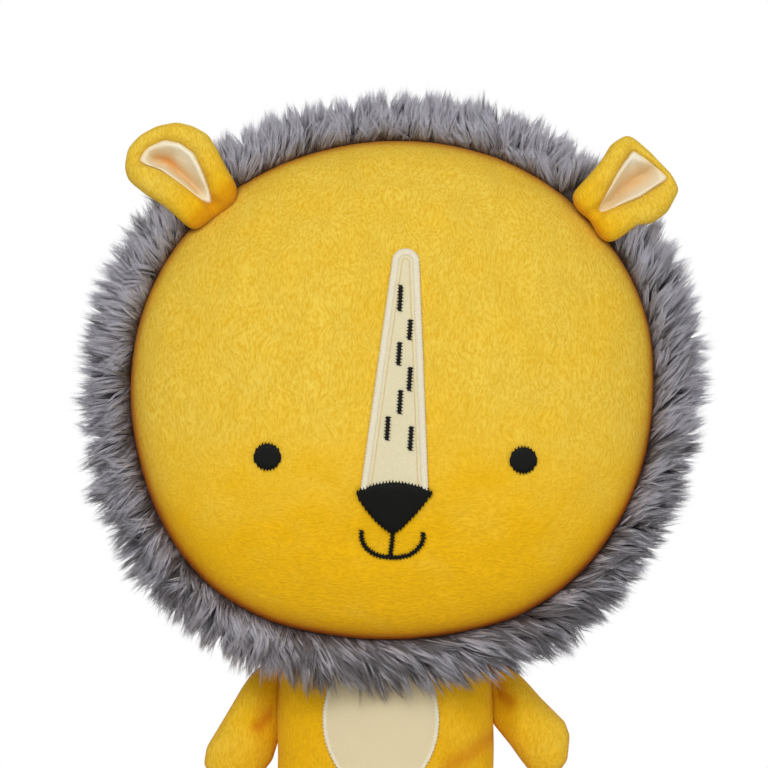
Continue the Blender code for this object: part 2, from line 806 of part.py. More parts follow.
def build_arms():
    for side, sign in (("left", 1), ("right", -1)):
        half_width, _, middle = torso_section(ARM_HEIGHT)
        above = torso_section(ARM_HEIGHT + GAP)[0]
        below = torso_section(ARM_HEIGHT - GAP)[0]
        slope = (above - below) / (2 * GAP)
        line = Vector((sign * slope, 0, 1)).normalized()
        outward = Vector((sign * line.z, 0, -sign * line.x))
        across = -sign * line
        origin = Vector((sign * half_width, middle, ARM_HEIGHT)) + outward * GAP
        hinge = add_hinge(
            f"arm_{side}_hinge",
            frame_of(origin, across, Vector((0, 1, 0)), -outward),
        )
        centre = Vector(
            (sign * ARM_CENTRE_OUT[side], middle, ARM_CENTRE_HEIGHT[side])
        )
        away = (centre - origin).dot(outward)
        along = (centre - origin).dot(across)
        drop = math.radians(ARM_DROP_ANGLES[side])
        hand = Vector((sign * math.sin(drop), 0, -math.cos(drop)))
        tilt = math.atan2(hand.dot(across), hand.dot(outward))
        reach = limb_reach(
            away, ARM_LENGTH / 2, ARM_WIDTH / 2, tilt, ARM_SQUARENESS_POWER
        )
        form = cushion(
            reach,
            ARM_THICKNESS / 2,
            ARM_THICKNESS / 2,
            SEAM_HALF,
            LIMB_CROWN_POWER,
            LIMB_SOFTNESS_POWER,
            root_lift(away),
        )
        names = ("front_panel", "back_panel")
        build_limb(f"arm_{side}", hinge, Vector((along, 0, -away)), form, names)


def build_legs():
    height = LEG_THICKNESS / 2 - FLAT_CUT
    for side, sign in (("left", 1), ("right", -1)):
        x = sign * LEG_SPACING / 2
        root = on_chest(x, height, GAP)
        normal = root - on_chest(x, height, 0)
        outward = Vector((normal.x, normal.y, 0)).normalized()
        across = Vector((-outward.y, outward.x, 0))
        hinge = add_hinge(
            f"leg_{side}_hinge",
            frame_of(root, across, Vector((0, 0, -1)), -outward),
        )
        away = LEG_LENGTH * (0.5 - LEG_BURY_share)
        reach = limb_reach(
            away, LEG_LENGTH / 2, LEG_WIDTH / 2, 0, LEG_SQUARENESS_POWER
        )
        cushioned = cushion(
            reach,
            LEG_THICKNESS / 2,
            LEG_THICKNESS / 2,
            SEAM_HALF,
            LIMB_CROWN_POWER,
            LIMB_SOFTNESS_POWER,
            root_lift(away),
        )

        def form(unit, inset, part_side):
            """The leg's cushion, cut flat where it rests on the table."""
            place = cushioned(unit, inset, part_side)
            place.y = min(place.y, height - inset)
            return place

        names = ("top_panel", "sole_panel")
        build_limb(f"leg_{side}", hinge, Vector((0, 0, -away)), form, names)


# Tail


def tail_middle(share):
    """The tail's middle line, from its root at 0 to its end at 1, in the hinge's frame."""
    end_height = TUFT_RADIUS - FLAT_CUT - TAIL_ROOT_HEIGHT
    return Vector((TAIL_SWAY * share**2, TAIL_LENGTH * share, end_height * share))


def build_tail():
    _, half_depth, middle = torso_section(TAIL_ROOT_HEIGHT)
    back = middle + half_depth + SEAM_HALF + GAP * 2
    hinge = add_hinge(
        "tail_hinge", Matrix.Translation((0, back, TAIL_ROOT_HEIGHT))
    )

    def tube(unit, inset):
        share = (unit.z + 1) / 2
        swell = smooth_step(share / TAIL_SWELL_share)
        radius = mix(TAIL_ROOT_RADIUS, TAIL_RADIUS, swell)
        # The end is rounded over the last of the tube
        over = max(share * TAIL_LENGTH - TAIL_LENGTH + TAIL_END_ROUNDING, 0)
        over /= TAIL_END_ROUNDING
        radius *= 1 - inset / TAIL_RADIUS
        radius *= math.sqrt(max(1 - over * over, 0))
        around = math.hypot(unit.x, unit.y)
        x = radius * unit.x / around if around > TINY else 0
        z = radius * unit.y / around if around > TINY else 0
        share -= inset / TAIL_LENGTH * share
        return tail_middle(share) + Vector((x, 0, z))

    bm = unit_ball(TAIL_SEGMENTS, TAIL_RINGS, False)
    root = [vert for vert in bm.verts if vert.co.z < TINY - 1]
    bmesh.ops.delete(bm, geom=root, context="VERTS")
    thicken(bm, lambda unit: tube(unit, 0), lambda unit: tube(unit, MINKY / 2))
    add_piece("tail_cover", bm, YELLOW, hinge)
    bm = unit_ball(TAIL_SEGMENTS, TAIL_RINGS, False)
    for vert in bm.verts:
        vert.co = tube(vert.co, MINKY / 2 + GAP)
    add_piece("tail_stuffing", bm, WHITE_FILL, hinge)

    bm = unit_ball(TAIL_SEGMENTS, TAIL_RINGS, False)
    end = tail_middle(1)
    along = (end - tail_middle(1 - TAIL_RADIUS / TAIL_LENGTH)).normalized()
    turn = Vector((0, 0, 1)).rotation_difference(along).to_matrix()
    half_length = TUFT_LENGTH / (1 + TUFT_BLUNT_share)
    start = end + along * (GAP + half_length * TUFT_BLUNT_share)
    for vert in bm.verts:
        slim = 1 - TUFT_TAPER_share * vert.co.z
        flat = Vector((vert.co.x * slim, vert.co.y * slim, 0)) * TUFT_RADIUS
        flat.z = vert.co.z * half_length
        if flat.z < 0:
            flat.z *= TUFT_BLUNT_share
        vert.co = start + turn @ flat
        vert.co.z = max(vert.co.z, -TAIL_ROOT_HEIGHT)
    add_piece("tail_tuft", bm, GREY_FUR, hinge)


def build_lion():
    clear_scene()
    neck = add_hinge("neck_hinge", Matrix.Translation(NECK))
    place = HEAD_CENTRE - NECK
    build_head(neck, place)
    build_blaze(neck, place)
    build_features(neck, place)
    build_ears(neck)
    build_torso()
    build_belly()
    build_arms()
    build_legs()
    build_tail()


build_lion()
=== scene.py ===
"""A sitting plush lion: cushion head in a fur mane, embroidered face, folded ears, soft body.

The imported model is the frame. Each cloth, fur and thread piece is made over its solid, in the
order in which such a toy is sewn together. A piece is in millimetres until it is put in place,
and the camera and the lamps are in metres.
"""

import math

import bmesh
import bpy
import numpy as np
from mathutils import Matrix, Vector


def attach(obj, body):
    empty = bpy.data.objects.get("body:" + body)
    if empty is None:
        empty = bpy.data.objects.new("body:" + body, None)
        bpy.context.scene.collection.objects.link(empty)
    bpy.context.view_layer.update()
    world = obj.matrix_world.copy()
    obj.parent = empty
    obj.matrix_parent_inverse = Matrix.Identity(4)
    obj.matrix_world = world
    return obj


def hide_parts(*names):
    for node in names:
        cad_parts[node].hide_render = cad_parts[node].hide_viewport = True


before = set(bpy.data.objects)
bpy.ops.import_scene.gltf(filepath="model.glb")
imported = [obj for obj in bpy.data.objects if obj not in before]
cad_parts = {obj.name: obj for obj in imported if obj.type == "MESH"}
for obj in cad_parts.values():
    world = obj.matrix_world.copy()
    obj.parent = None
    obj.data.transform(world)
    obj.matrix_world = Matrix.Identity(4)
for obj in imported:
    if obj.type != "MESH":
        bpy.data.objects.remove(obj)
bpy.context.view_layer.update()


# Camera. The photograph looks level and straight at the face, from far off, and cuts the
# lion off across its belly.
VIEW_WIDTH, VIEW_MIDDLE = 0.2304, (-0.0004, -0.030, 0.1487)
CAMERA_AWAY, SENSOR_WIDTH = 1.5, 36
camera_data = bpy.data.cameras.new("camera")
camera_data.sensor_width = SENSOR_WIDTH
camera_data.lens = SENSOR_WIDTH * CAMERA_AWAY / VIEW_WIDTH
camera = bpy.data.objects.new("camera", camera_data)
camera.location = Vector(VIEW_MIDDLE) - Vector((0, CAMERA_AWAY, 0))
camera.rotation_euler = (math.pi / 2, 0, 0)
bpy.context.collection.objects.link(camera)
bpy.context.scene.camera = camera


# Filling. White polyester fibre, pushed in through an opening in each part before it is
# closed by hand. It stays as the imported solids, hidden inside the cloth.
class Value:
    """A socket of a node. Arithmetic on it adds Math nodes."""

    def __init__(self, nodes, socket):
        self.nodes, self.socket = nodes, socket

    def maths(self, operation, first, second):
        return self.nodes.node("ShaderNodeMath", {"operation": operation}, {0: first, 1: second})

    def __add__(self, other):
        return self.maths("ADD", self, other)

    def __sub__(self, other):
        return self.maths("SUBTRACT", self, other)

    def __rsub__(self, other):
        return self.maths("SUBTRACT", other, self)

    def __mul__(self, other):
        return self.maths("MULTIPLY", self, other)

    __radd__ = __add__
    __rmul__ = __mul__


class Nodes:
    """A tree of shader nodes. One method adds them all."""

    def __init__(self, tree):
        self.tree = tree

    def node(self, kind, settings=None, inputs=None, output=0):
        made = self.tree.nodes.new(kind)
        for key, value in (settings or {}).items():
            setattr(made, key, value)
        for key, value in (inputs or {}).items():
            if isinstance(value, Value):
                self.tree.links.new(value.socket, made.inputs[key])
            else:
                made.inputs[key].default_value = value
        return Value(self, made.outputs[output])


class Finish(Nodes):
    """One Principled material, the nodes that feed it, and the slot that it stands for."""

    def __init__(self, name, slot=None, specular=0.5, **constants):
        self.material, self.slot = bpy.data.materials.new(name), slot
        self.material.use_nodes = True
        super().__init__(self.material.node_tree)
        self.shader = self.tree.nodes["Principled BSDF"]
        self.shader.inputs["Specular IOR Level"].default_value = specular
        for key, value in constants.items():
            self.shader.inputs[key.replace("_", " ").title()].default_value = value

    def blend(self, share, low, high):
        settings = {"data_type": "RGBA", "clamp_factor": True}
        return self.node("ShaderNodeMix", settings, {0: share, 6: low, 7: high}, 2)

    def stretch(self, value, low, high):
        """0 where the value is low and 1 where it is high."""
        return self.node("ShaderNodeMapRange", None, {0: value, 1: low, 2: high})

    def place(self):
        return self.node("ShaderNodeTexCoord", output=3)

    def noise(self, place, size, detail=2, stretch=(1, 1, 1), roughness=0.5):
        """Noise whose features are about this many millimetres across, times the stretch."""
        scale = [1000 / (size * part) for part in stretch]
        placed = self.node("ShaderNodeMapping", None, {0: place, 3: scale})
        inputs = {"Vector": placed, "Scale": 1, "Detail": detail, "Roughness": roughness}
        return self.node("ShaderNodeTexNoise", None, inputs)

    def warp(self, place, size, amount):
        """The place, moved about by this many millimetres."""
        inputs = {"Vector": place, "Scale": 1000 / size, "Detail": 1}
        wobble = self.node("ShaderNodeTexNoise", None, inputs, 1)
        inputs = {0: wobble, 1: [amount * 0.001] * 3, 2: place}
        return self.node("ShaderNodeVectorMath", {"operation": "MULTIPLY_ADD"}, inputs)

    def feed(self, name, value):
        self.tree.links.new(value.socket, self.shader.inputs[name])

    def bump(self, height, distance):
        inputs = {"Height": height, "Distance": distance * 0.001, "Strength": 1}
        self.feed("Normal", self.node("ShaderNodeBump", None, inputs))


filling = Finish("filling", roughness=0.95)
tangle = filling.noise(filling.warp(filling.place(), 4, 3), 1.2, 4)
filling.feed("Base Color", filling.blend(tangle, (0.7, 0.7, 0.69, 1), (0.93, 0.93, 0.92, 1)))
filling.bump(tangle, 1.0)
for name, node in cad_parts.items():
    if name.endswith("_stuffing"):
        for holder in node.material_slots:
            holder.link = "OBJECT"
            holder.material = filling.material


# Head. Two round panels of yellow minky, sewn edge to edge and stuffed hard, so that the face
# swells to a broad cushion. The outline is a little uneven, as hand turning leaves it.
def minky(name, slot, pale, deep, brushed, seam, pile=0.6, depth=0.5):
    """Short dense pile: fine streaks that lean this way and that, and patches brushed flat.

    Attributes of the mesh tell where the pile is brushed down, so that its deeper side shows,
    where it lies across, and where a seam parts it, so that the dyed backing shows. The same two
    colours also paint shade: in folds and creases, along the head's lower rim, round the neck,
    and over the lower face, which is painted deeper for the light from above.
    """
    sheen = {"sheen_weight": 0.05, "sheen_roughness": 0.5, "sheen_tint": (1, 0.9, 0.6, 1)}
    finish = Finish(name, slot, 0.12, roughness=0.9, **sheen)
    place = finish.place()
    bent = finish.warp(place, 14, 9)
    upright = finish.noise(bent, pile, 3, (1, 1, 3.4), 0.65)
    across = finish.noise(bent, pile, 3, (3.6, 1, 1), 0.65)
    patches = finish.noise(finish.warp(place, 9, 7), 13, 2, (1.2, 1, 1))
    laid, turned, parted = (
        finish.node("ShaderNodeAttribute", {"attribute_name": shade}, None, 2)
        for shade in ("brushed", "turned", "parted")
    )
    streaks = upright + (across - upright) * turned
    # The brushed colour is partly real brushed pile and partly painted shade, on the lower face
    # and in the ear linings' folds
    broad = finish.blend(laid + (patches - 0.5) * 1.1, pale, brushed)
    streaked = finish.blend(0.7, broad, deep)
    cloth = finish.blend(finish.stretch(streaks, 0.38, 0.60), streaked, broad)
    # The seam colour is mixed in at real seams, and as painted shade in folds, creases, round the
    # head's lower rim and at the neck
    finish.feed("Base Color", finish.blend(parted, cloth, seam))
    finish.bump(streaks * 0.8 + patches * 0.5, depth)
    return finish


yellow_minky = minky(
    "yellow_minky",
    "yellow_minky",
    pale=(0.85, 0.60, 0.075, 1),
    deep=(0.70, 0.38, 0.003, 1),
    brushed=(0.87, 0.49, 0.005, 1),
    seam=(0.56, 0.13, 0.001, 1),
)
HEAD_X, HEAD_Y, HEAD_Z = 2, -20, 146
FACE_CROWN, NAPE_CROWN = 28, 36
CROWN_POWER, CROWN_SOFTNESS = 2.5, 0.62
SEAM_HALF = 0.9
# The seam's distance from the middle of the face, every 15 degrees from the lion's left
HEAD_OUTLINE = (
    79.0, 80.2, 80.0, 79.2, 78.2, 77.0, 76.2, 76.2, 77.0, 78.2, 79.0, 79.2,
    79.0, 79.0, 79.8, 80.2, 78.4, 75.6, 74.6, 75.2, 77.4, 78.7, 78.9, 78.9,
)  # fmt: skip


def near(away, width, power=2):
    """1 where nothing is away, falling off to nothing over this width."""
    return np.exp(-(np.abs(away / width) ** power))


def soft_step(share):
    return share * share * (3 - 2 * share)


def around(angle, table):
    """A closed curve's value at an angle, from values at equal steps, with no corners."""
    count = len(table)
    spot = np.mod(angle / (2 * np.pi), 1) * count
    first = np.floor(spot).astype(int)
    share = spot - first
    values = np.array(table)
    a, b, c, d = (values[(first + step) % count] for step in (-1, 0, 1, 2))
    bend = 2 * a - 5 * b + 4 * c - d + share * (3 * (b - c) + d - a)
    return b + 0.5 * share * (c - a + share * bend)


def head_reach(angle):
    return around(angle, HEAD_OUTLINE)


def crown(share, power, softness):
    return np.maximum(0, 1 - np.clip(share, 0, 1) ** power) ** softness


def ripple(x, z):
    """The slow unevenness of stuffing under cloth."""
    wave = np.sin(x / 9.1 + 1.3) * np.sin(z / 12.7 + 0.4)
    wave += 0.7 * np.sin(x / 5.3 - z / 8.9 + 2.1) + 0.6 * np.sin((x + z) / 17 + 0.9)
    return 0.22 * wave


def face_height(x, z):
    """How far the face stands ahead of the head's seam plane, round the middle of the face."""
    angle = np.arctan2(z, x)
    share = np.hypot(x, z) / head_reach(angle)
    height = SEAM_HALF + FACE_CROWN * crown(share, CROWN_POWER, CROWN_SOFTNESS)
    pucker = np.sin(angle * 61) * near(share - 0.97, 0.035)
    # Close stitching draws the cloth in round the nose and the mouth
    drawn = near(x + 1, 17) * near(z + 42, 15)
    return height + (ripple(x, z) + 0.3 * pucker) * (1 - share**8) - 1.1 * drawn


def head_form(x, y, z):
    share = np.minimum(np.hypot(x, z), 1)
    angle = np.arctan2(z, x)
    reach = share * head_reach(angle)
    across, up = reach * np.cos(angle), reach * np.sin(angle)
    ahead = face_height(across, up)
    behind = SEAM_HALF + NAPE_CROWN * crown(share, CROWN_POWER, CROWN_SOFTNESS)
    behind += ripple(across + 40, up) * (1 - share**8)
    deep = np.where(y < -1e-6, -ahead, np.where(y > 1e-6, behind, 0))
    return np.stack((across + HEAD_X, deep + HEAD_Y, up + HEAD_Z), 1)


def put_in_place(name, bm):
    """An object from a bmesh in millimetres."""
    bmesh.ops.scale(bm, vec=(0.001, 0.001, 0.001), verts=bm.verts[:])
    mesh = bpy.data.meshes.new(name)
    bm.to_mesh(mesh)
    bm.free()
    piece = bpy.data.objects.new(name, mesh)
    bpy.context.collection.objects.link(piece)
    return piece


def finished(name, bm, finish, body, *replaced, shades=None):
    """A piece from a bmesh in millimetres: its normals turned out, its finish and its body.

    Shades give the mesh's attributes from the vertices' places, by name.
    """
    places = np.array([vert.co for vert in bm.verts])
    bm.normal_update()
    bmesh.ops.recalc_face_normals(bm, faces=bm.faces[:])
    piece = put_in_place(name, bm)
    piece.data.shade_smooth()
    for shade, values in (shades(*places.T) if shades else {}).items():
        layer = piece.data.attributes.new(shade, "FLOAT", "POINT")
        values = np.clip(np.broadcast_to(values, len(places)), 0, 1)
        layer.data.foreach_set("value", values.astype(np.float32))
    piece.data.materials.append(finish.material)
    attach(piece, body)
    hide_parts(*replaced)
    return piece


def shaped(bm, form):
    """Move a bmesh's vertices to the places that a form gives for their coordinates."""
    unit = np.array([vert.co for vert in bm.verts])
    for vert, place in zip(bm.verts, form(*unit.T)):
        vert.co = place
    return bm


def ball(segments, rings, poles="Y"):
    """A ball of radius 1 with its poles on one axis."""
    turn = Matrix.Rotation(math.pi / 2, 4, "X") if poles == "Y" else Matrix()
    bm = bmesh.new()
    bmesh.ops.create_uvsphere(bm, u_segments=segments, v_segments=rings, radius=1, matrix=turn)
    return bm


# The neck's round end is sewn into the nape, so the cloth is open there
OPENING_MIDDLE, OPENING_HALF = (0, -5, 82), (21.6, 15.0, 15.0)


def opening_form(*unit):
    parts = zip(unit, OPENING_HALF, OPENING_MIDDLE)
    return np.stack([value * half + middle for value, half, middle in parts], 1)


def opening_level(*place):
    """1 on the opening's round wall, less inside it and more outside."""
    parts = zip(place, OPENING_MIDDLE, OPENING_HALF)
    return np.sqrt(sum(((value - middle) / half) ** 2 for value, middle, half in parts))


def head_shades(x, y, z):
    """The lower pile lies down and is painted deeper, as shade under light from above. The seam
    draws the pile apart, with painted shade along the rim, widest below, and round the neck.
    """
    across, up = x - HEAD_X, z - HEAD_Z
    share = np.hypot(across, up) / head_reach(np.arctan2(up, across))
    lower = soft_step(np.clip((14 - up - 0.15 * np.abs(across)) / 62, 0, 1))
    under = np.clip(0.35 - up / 80, 0, 1)
    by_neck = (opening_level(x, y, z) - 1) * OPENING_HALF[1]
    # Painted shade: a thin band at the seam, and a wider one where the rim turns under at the
    # bottom
    at_seam = 0.75 * near(1 - share, 0.020) + 0.5 * under * near(1 - share, 0.050)
    return {
        # The lower face is painted deeper: painted shade for the light from above, where the pile
        # also lies down
        "brushed": 0.08 + 0.92 * lower,
        "turned": lower,
        "parted": at_seam + 0.6 * near(by_neck, 2.5),
    }


head_bm = shaped(ball(180, 120), head_form)
head_cover = finished(
    "head_cover", head_bm, yellow_minky, "head", "face_panel", "head_back_panel",
    shades=head_shades,
)  # fmt: skip
neck_opening = put_in_place("neck_opening", shaped(ball(48, 24, "Z"), opening_form))
cut = head_cover.modifiers.new("neck_opening", "BOOLEAN")
cut.operation = "DIFFERENCE"
cut.solver = "EXACT"
cut.object = neck_opening
bpy.context.view_layer.update()
cut_head = head_cover.evaluated_get(bpy.context.evaluated_depsgraph_get())
cut_mesh = bpy.data.meshes.new_from_object(cut_head)
head_cover.modifiers.clear()
head_cover.data = cut_mesh
bpy.data.objects.remove(neck_opening)


# Mane. Long grey pile on a knitted backing, folded in half and caught in the head's seam. The
# pile clumps into locks that point outward and cross each other, paler at their tips.
STRAND_SIDES, STRAND_STEPS = 3, 3
STRANDS_PER_PIECE = 10000


def one_strand():
    """Triangles of one tapering strand, with each vertex's ring and corner, from a cone."""
    bm = bmesh.new()
    bmesh.ops.create_cone(
        bm, cap_ends=True, cap_tris=True, segments=STRAND_SIDES, radius1=1, radius2=0,
        depth=STRAND_STEPS,
    )  # fmt: skip
    bmesh.ops.remove_doubles(bm, verts=bm.verts[:], dist=0.0001)
    for step in range(1, STRAND_STEPS):
        everything = bm.verts[:] + bm.edges[:] + bm.faces[:]
        level = (0, 0, step - STRAND_STEPS / 2)
        bmesh.ops.bisect_plane(bm, geom=everything, plane_co=level, plane_no=(0, 0, 1))
    bmesh.ops.triangulate(bm, faces=bm.faces[:])
    bm.normal_update()
    bmesh.ops.recalc_face_normals(bm, faces=bm.faces[:])
    bm.verts.ensure_lookup_table()
    places = np.array([vert.co for vert in bm.verts])
    share = places[:, 2] / STRAND_STEPS + 0.5
    turn = np.arctan2(places[:, 1], places[:, 0])
    middle = np.hypot(places[:, 0], places[:, 1]) < 1e-4
    faces = np.array([[vert.index for vert in face.verts] for face in bm.faces])
    bm.free()
    return share, turn, middle, faces


def unit_rows(rows):
    return rows / np.maximum(np.linalg.norm(rows, axis=1, keepdims=True), 1e-9)


def strand_pieces(name, roots, bends, tips, width, tone, finish, body, replaced):
    """Fur as closed tapering strands, in pieces that are small enough to keep whole."""
    share, turn, middle, faces = one_strand()
    for number, start in enumerate(range(0, len(roots), STRANDS_PER_PIECE), 1):
        rows = slice(start, start + STRANDS_PER_PIECE)
        root, bend, tip = roots[rows], bends[rows], tips[rows]
        along = unit_rows(tip - root)
        side = unit_rows(np.cross(along, (0.31, 0.87, 0.39)))
        other = np.cross(along, side)
        thick = width[rows][:, None] * (1 - share[None] ** 1.6) * 0.5
        thick = np.where(middle[None], 0, thick)
        s = share[None, :, None]
        places = (1 - s) ** 2 * root[:, None] + s**2 * tip[:, None]
        places = places + 2 * s * (1 - s) * bend[:, None]
        places += (thick * np.cos(turn))[..., None] * side[:, None]
        places += (thick * np.sin(turn))[..., None] * other[:, None]
        count, corners = places.shape[:2]
        index = faces[None] + corners * np.arange(count)[:, None, None]
        mesh = bpy.data.meshes.new(f"{name}_{number}")
        mesh.vertices.add(count * corners)
        mesh.vertices.foreach_set("co", (places * 0.001).astype(np.float32).ravel())
        triangles = count * len(faces)
        mesh.loops.add(triangles * 3)
        mesh.polygons.add(triangles)
        mesh.polygons.foreach_set("loop_start", np.arange(0, triangles * 3, 3))
        mesh.loops.foreach_set("vertex_index", index.astype(np.int32).ravel())
        mesh.update(calc_edges=True)
        mesh.shade_smooth()
        laid = np.empty((count, len(faces), 3, 2), np.float32)
        laid[..., 0] = tone[rows][:, None, None]
        laid[..., 1] = share[faces][None]
        mesh.uv_layers.new(name="OFBake").uv.foreach_set("vector", laid.ravel())
        mesh.materials.append(finish.material)
        piece = bpy.data.objects.new(f"{name}_{number}", mesh)
        bpy.context.collection.objects.link(piece)
        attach(piece, body)
        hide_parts(replaced)


def fur_finish(name, root, middle, tip):
    """Pile that is dark at its root and pale at its tip, with some locks paler than others."""
    finish = Finish(name, name, roughness=0.62)
    laid = finish.node("ShaderNodeUVMap", {"uv_map": "OFBake"})
    tone, along = (
        finish.node("ShaderNodeSeparateXYZ", None, {0: laid}, output) for output in (0, 1)
    )
    ends = finish.blend(along * 1.7 - 0.55, middle, tip)
    shade = finish.blend(finish.stretch(along, 0.05, 0.5), root, ends)
    pale = finish.blend(tone * 0.55, shade, tip)
    dark = finish.stretch(tone, 0.25, 0.0)
    finish.feed("Base Color", finish.blend(dark * 0.8, pale, root))
    return finish


grey_fur = fur_finish(
    "grey_fur", (0.070, 0.055, 0.050, 1), (0.27, 0.255, 0.285, 1), (0.66, 0.64, 0.71, 1)
)
EAR_ANGLES = (41.5, 134.0)
PILE = 12.6
MANE_TUFTS, STRANDS_PER_TUFT, MANE_LOCKS, MANE_SEED = 11200, 8, 980, 11
BACKING_OUT, BACKING_REACH, BACKING_DEPTH = 2.2, 2.8, 3.4
# How far the pile is combed along the seam, every 30 degrees from the lion's left over the top
COMBED = (0.50, 0.45, 0.25, -0.08, -0.32, -0.28, 0.10, 0.10, 0.35, 0.75, 0.55, 0.40)
# How many millimetres longer the pile stands than elsewhere, every 10 degrees from there
FULLER = (
    0.5, 1.3, 1.8, 0.4, 0.2, -0.4, -0.7, 0.2, -0.9, -1.2, -2.4, -1.4, -0.3, 0.0, 0.3, 0.7, 0.2,
    0.2, 0.2, 0.8, 1.8, 1.2, 1.0, -0.9, -0.2, 0.6, 0.3, 0.0, 0.4, 1.0, 0.5, -0.3, -1.4, -1.0,
    -0.2, -0.4,
)  # fmt: skip


def apart(angle, degrees):
    """Degrees between angles and one direction."""
    return np.abs((np.degrees(angle) - degrees + 180) % 360 - 180)


def mane_backing(angle, turn):
    """A point of the folded strip's backing, and three directions at it: out from the face's
    middle, straight back, and out of the strip.
    """
    reach = head_reach(angle) + BACKING_OUT + BACKING_REACH * np.cos(turn)
    radial = np.stack((np.cos(angle), np.zeros_like(angle), np.sin(angle)), 1)
    back = np.stack((np.zeros_like(angle), np.ones_like(angle), np.zeros_like(angle)), 1)
    point = radial * reach[:, None] + back * (BACKING_DEPTH * np.sin(turn))[:, None]
    point += (HEAD_X, HEAD_Y, HEAD_Z)
    outward = radial * np.cos(turn)[:, None] + back * np.sin(turn)[:, None]
    return point, radial, back, outward


def mane_strands():
    """Strands in small tufts, whose tips lean together in locks."""
    dice = np.random.default_rng(MANE_SEED)

    def starts(number):
        angle = dice.uniform(0, 2 * np.pi, number)
        turn = dice.uniform(-2.75, 2.55, number)
        by_ear = np.minimum(*(apart(angle, seat) for seat in EAR_ANGLES))
        low = np.clip((by_ear - 5.5) / 3, 0, 1)
        turn = np.where(turn < 0, turn * low + 0.35 * (1 - low), turn)
        return angle, turn

    def headings(angle, turn, radial, back, outward, spread):
        """Pile by the seam stands forward and is combed along it, and the rest points out."""
        tangent = np.cross(radial, back)
        front = np.clip((-turn - 0.7) / 1.0, 0, 1)[:, None]
        comb = (around(angle, COMBED) * (0.75 + 0.6 * front[:, 0]))[:, None]
        comb = comb + dice.normal(0, spread, (len(angle), 1))
        lift = dice.normal(0, spread * 0.5, (len(angle), 1))
        way = outward * (0.42 + 0.1 * front) + radial * (0.85 - 0.1 * front)
        return unit_rows(way + tangent * comb + back * lift)

    def pile(angle, turn):
        """The pile hangs longer below the chin, and is pressed short against the chest."""
        chin = np.clip((52 - apart(angle, -90)) / 18, 0, 1)
        chest = np.clip((28 - apart(angle, -90)) / 6, 0, 1) * np.clip(turn / 0.7, 0, 1)
        return (PILE * (1 + 0.15 * chin) + around(angle, FULLER)) * (1 - 0.68 * chest)

    lock_angle, lock_turn = starts(MANE_LOCKS)
    lock_root, radial, back, outward = mane_backing(lock_angle, lock_turn)
    heading = headings(lock_angle, lock_turn, radial, back, outward, 0.27)
    lock_pile = pile(lock_angle, lock_turn) * dice.uniform(0.84, 1.16, MANE_LOCKS)
    lock_tip = lock_root + heading * lock_pile[:, None]
    # Locks are painted paler towards the top of the mane and darker below, as painted light from
    # above, on top of tones that differ at random
    lock_tone = dice.uniform(0.0, 0.74, MANE_LOCKS) + 0.04 + 0.32 * np.sin(lock_angle)

    angle, turn = starts(MANE_TUFTS)
    root, radial, back, outward = mane_backing(angle, turn)
    lock = np.empty(MANE_TUFTS, int)
    for first in range(0, MANE_TUFTS, 4000):
        rows = slice(first, first + 4000)
        gap = ((root[rows, None] - lock_root[None]) ** 2).sum(2)
        lock[rows] = gap.argmin(1)
    heading = headings(angle, turn, radial, back, outward, 0.28)
    length = pile(angle, turn) * dice.uniform(0.66, 1.10, MANE_TUFTS)
    own = root + heading * length[:, None]
    gather = dice.uniform(0.35, 0.88, MANE_TUFTS)[:, None]
    # A few tufts fly loose of their locks
    gather[dice.uniform(0, 1, MANE_TUFTS) < 0.04] = 0.05
    tuft_tip = own + (lock_tip[lock] - own) * gather
    tuft_tone = lock_tone[lock] + dice.normal(0, 0.24, MANE_TUFTS)
    # Right by the seam the pile first stands up ahead of the face, or behind the nape
    inner = np.clip((np.abs(turn) - 1.7) / 0.8, 0, 1)[:, None]
    stand = back * np.sign(turn)[:, None] * 0.8 * inner
    rise = unit_rows(outward + radial * (0.3 + 0.9 * inner) + stand)
    tuft_bend = root + (rise * 0.40 + heading * 0.14) * length[:, None]
    tuft_bend += dice.normal(0, 0.6, (MANE_TUFTS, 3))

    def many(rows):
        return np.repeat(rows, STRANDS_PER_TUFT, axis=0)

    count = MANE_TUFTS * STRANDS_PER_TUFT
    angle, turn = many(angle), many(turn)
    angle = angle + dice.normal(0, 0.0045, count)
    root = mane_backing(angle, turn + dice.normal(0, 0.11, count))[0]
    reach = dice.uniform(0.80, 1.04, count)[:, None]
    firsts = mane_backing(angle[::STRANDS_PER_TUFT], turn[::STRANDS_PER_TUFT])[0]
    shift = (root - many(firsts)) * 0.6
    tip = root + (many(tuft_tip) - root) * reach + shift * 0.5 + dice.normal(0, 0.22, (count, 3))
    bend = many(tuft_bend) + shift + dice.normal(0, 0.2, (count, 3))
    for rows in (bend, tip):
        rows[:, 1] = np.maximum(rows[:, 1], HEAD_Y - 10.6)
    width = dice.uniform(0.16, 0.32, count)
    tone = np.clip(many(tuft_tone) + dice.normal(0, 0.10, count), 0.02, 0.98)
    return root, bend, tip, width, tone


strand_pieces("mane_fur", *mane_strands(), grey_fur, "head", "mane_trim")
backing = Finish("mane_backing", "grey_fur", roughness=0.9)
knit = backing.noise(backing.place(), 1.1, 3)
backing.feed("Base Color", backing.blend(knit, (0.02, 0.016, 0.015, 1), (0.09, 0.075, 0.07, 1)))
backing.bump(knit, 0.8)
backing_bm = bmesh.new()
bmesh.ops.create_grid(backing_bm, x_segments=180, y_segments=16, size=1)
shaped(backing_bm, lambda x, y, z: mane_backing(x * np.pi, y * np.pi)[0])
bmesh.ops.remove_doubles(backing_bm, verts=backing_bm.verts[:], dist=0.01)
finished("mane_backing", backing_bm, backing, "head", "mane_trim")


# Stitching. All the embroidery is satin stitch: threads laid side by side across a narrow
# shape, each one domed, with slightly ragged ends.
STITCH, GROOVE, UNDER = 0.48, 0.14, 0.2


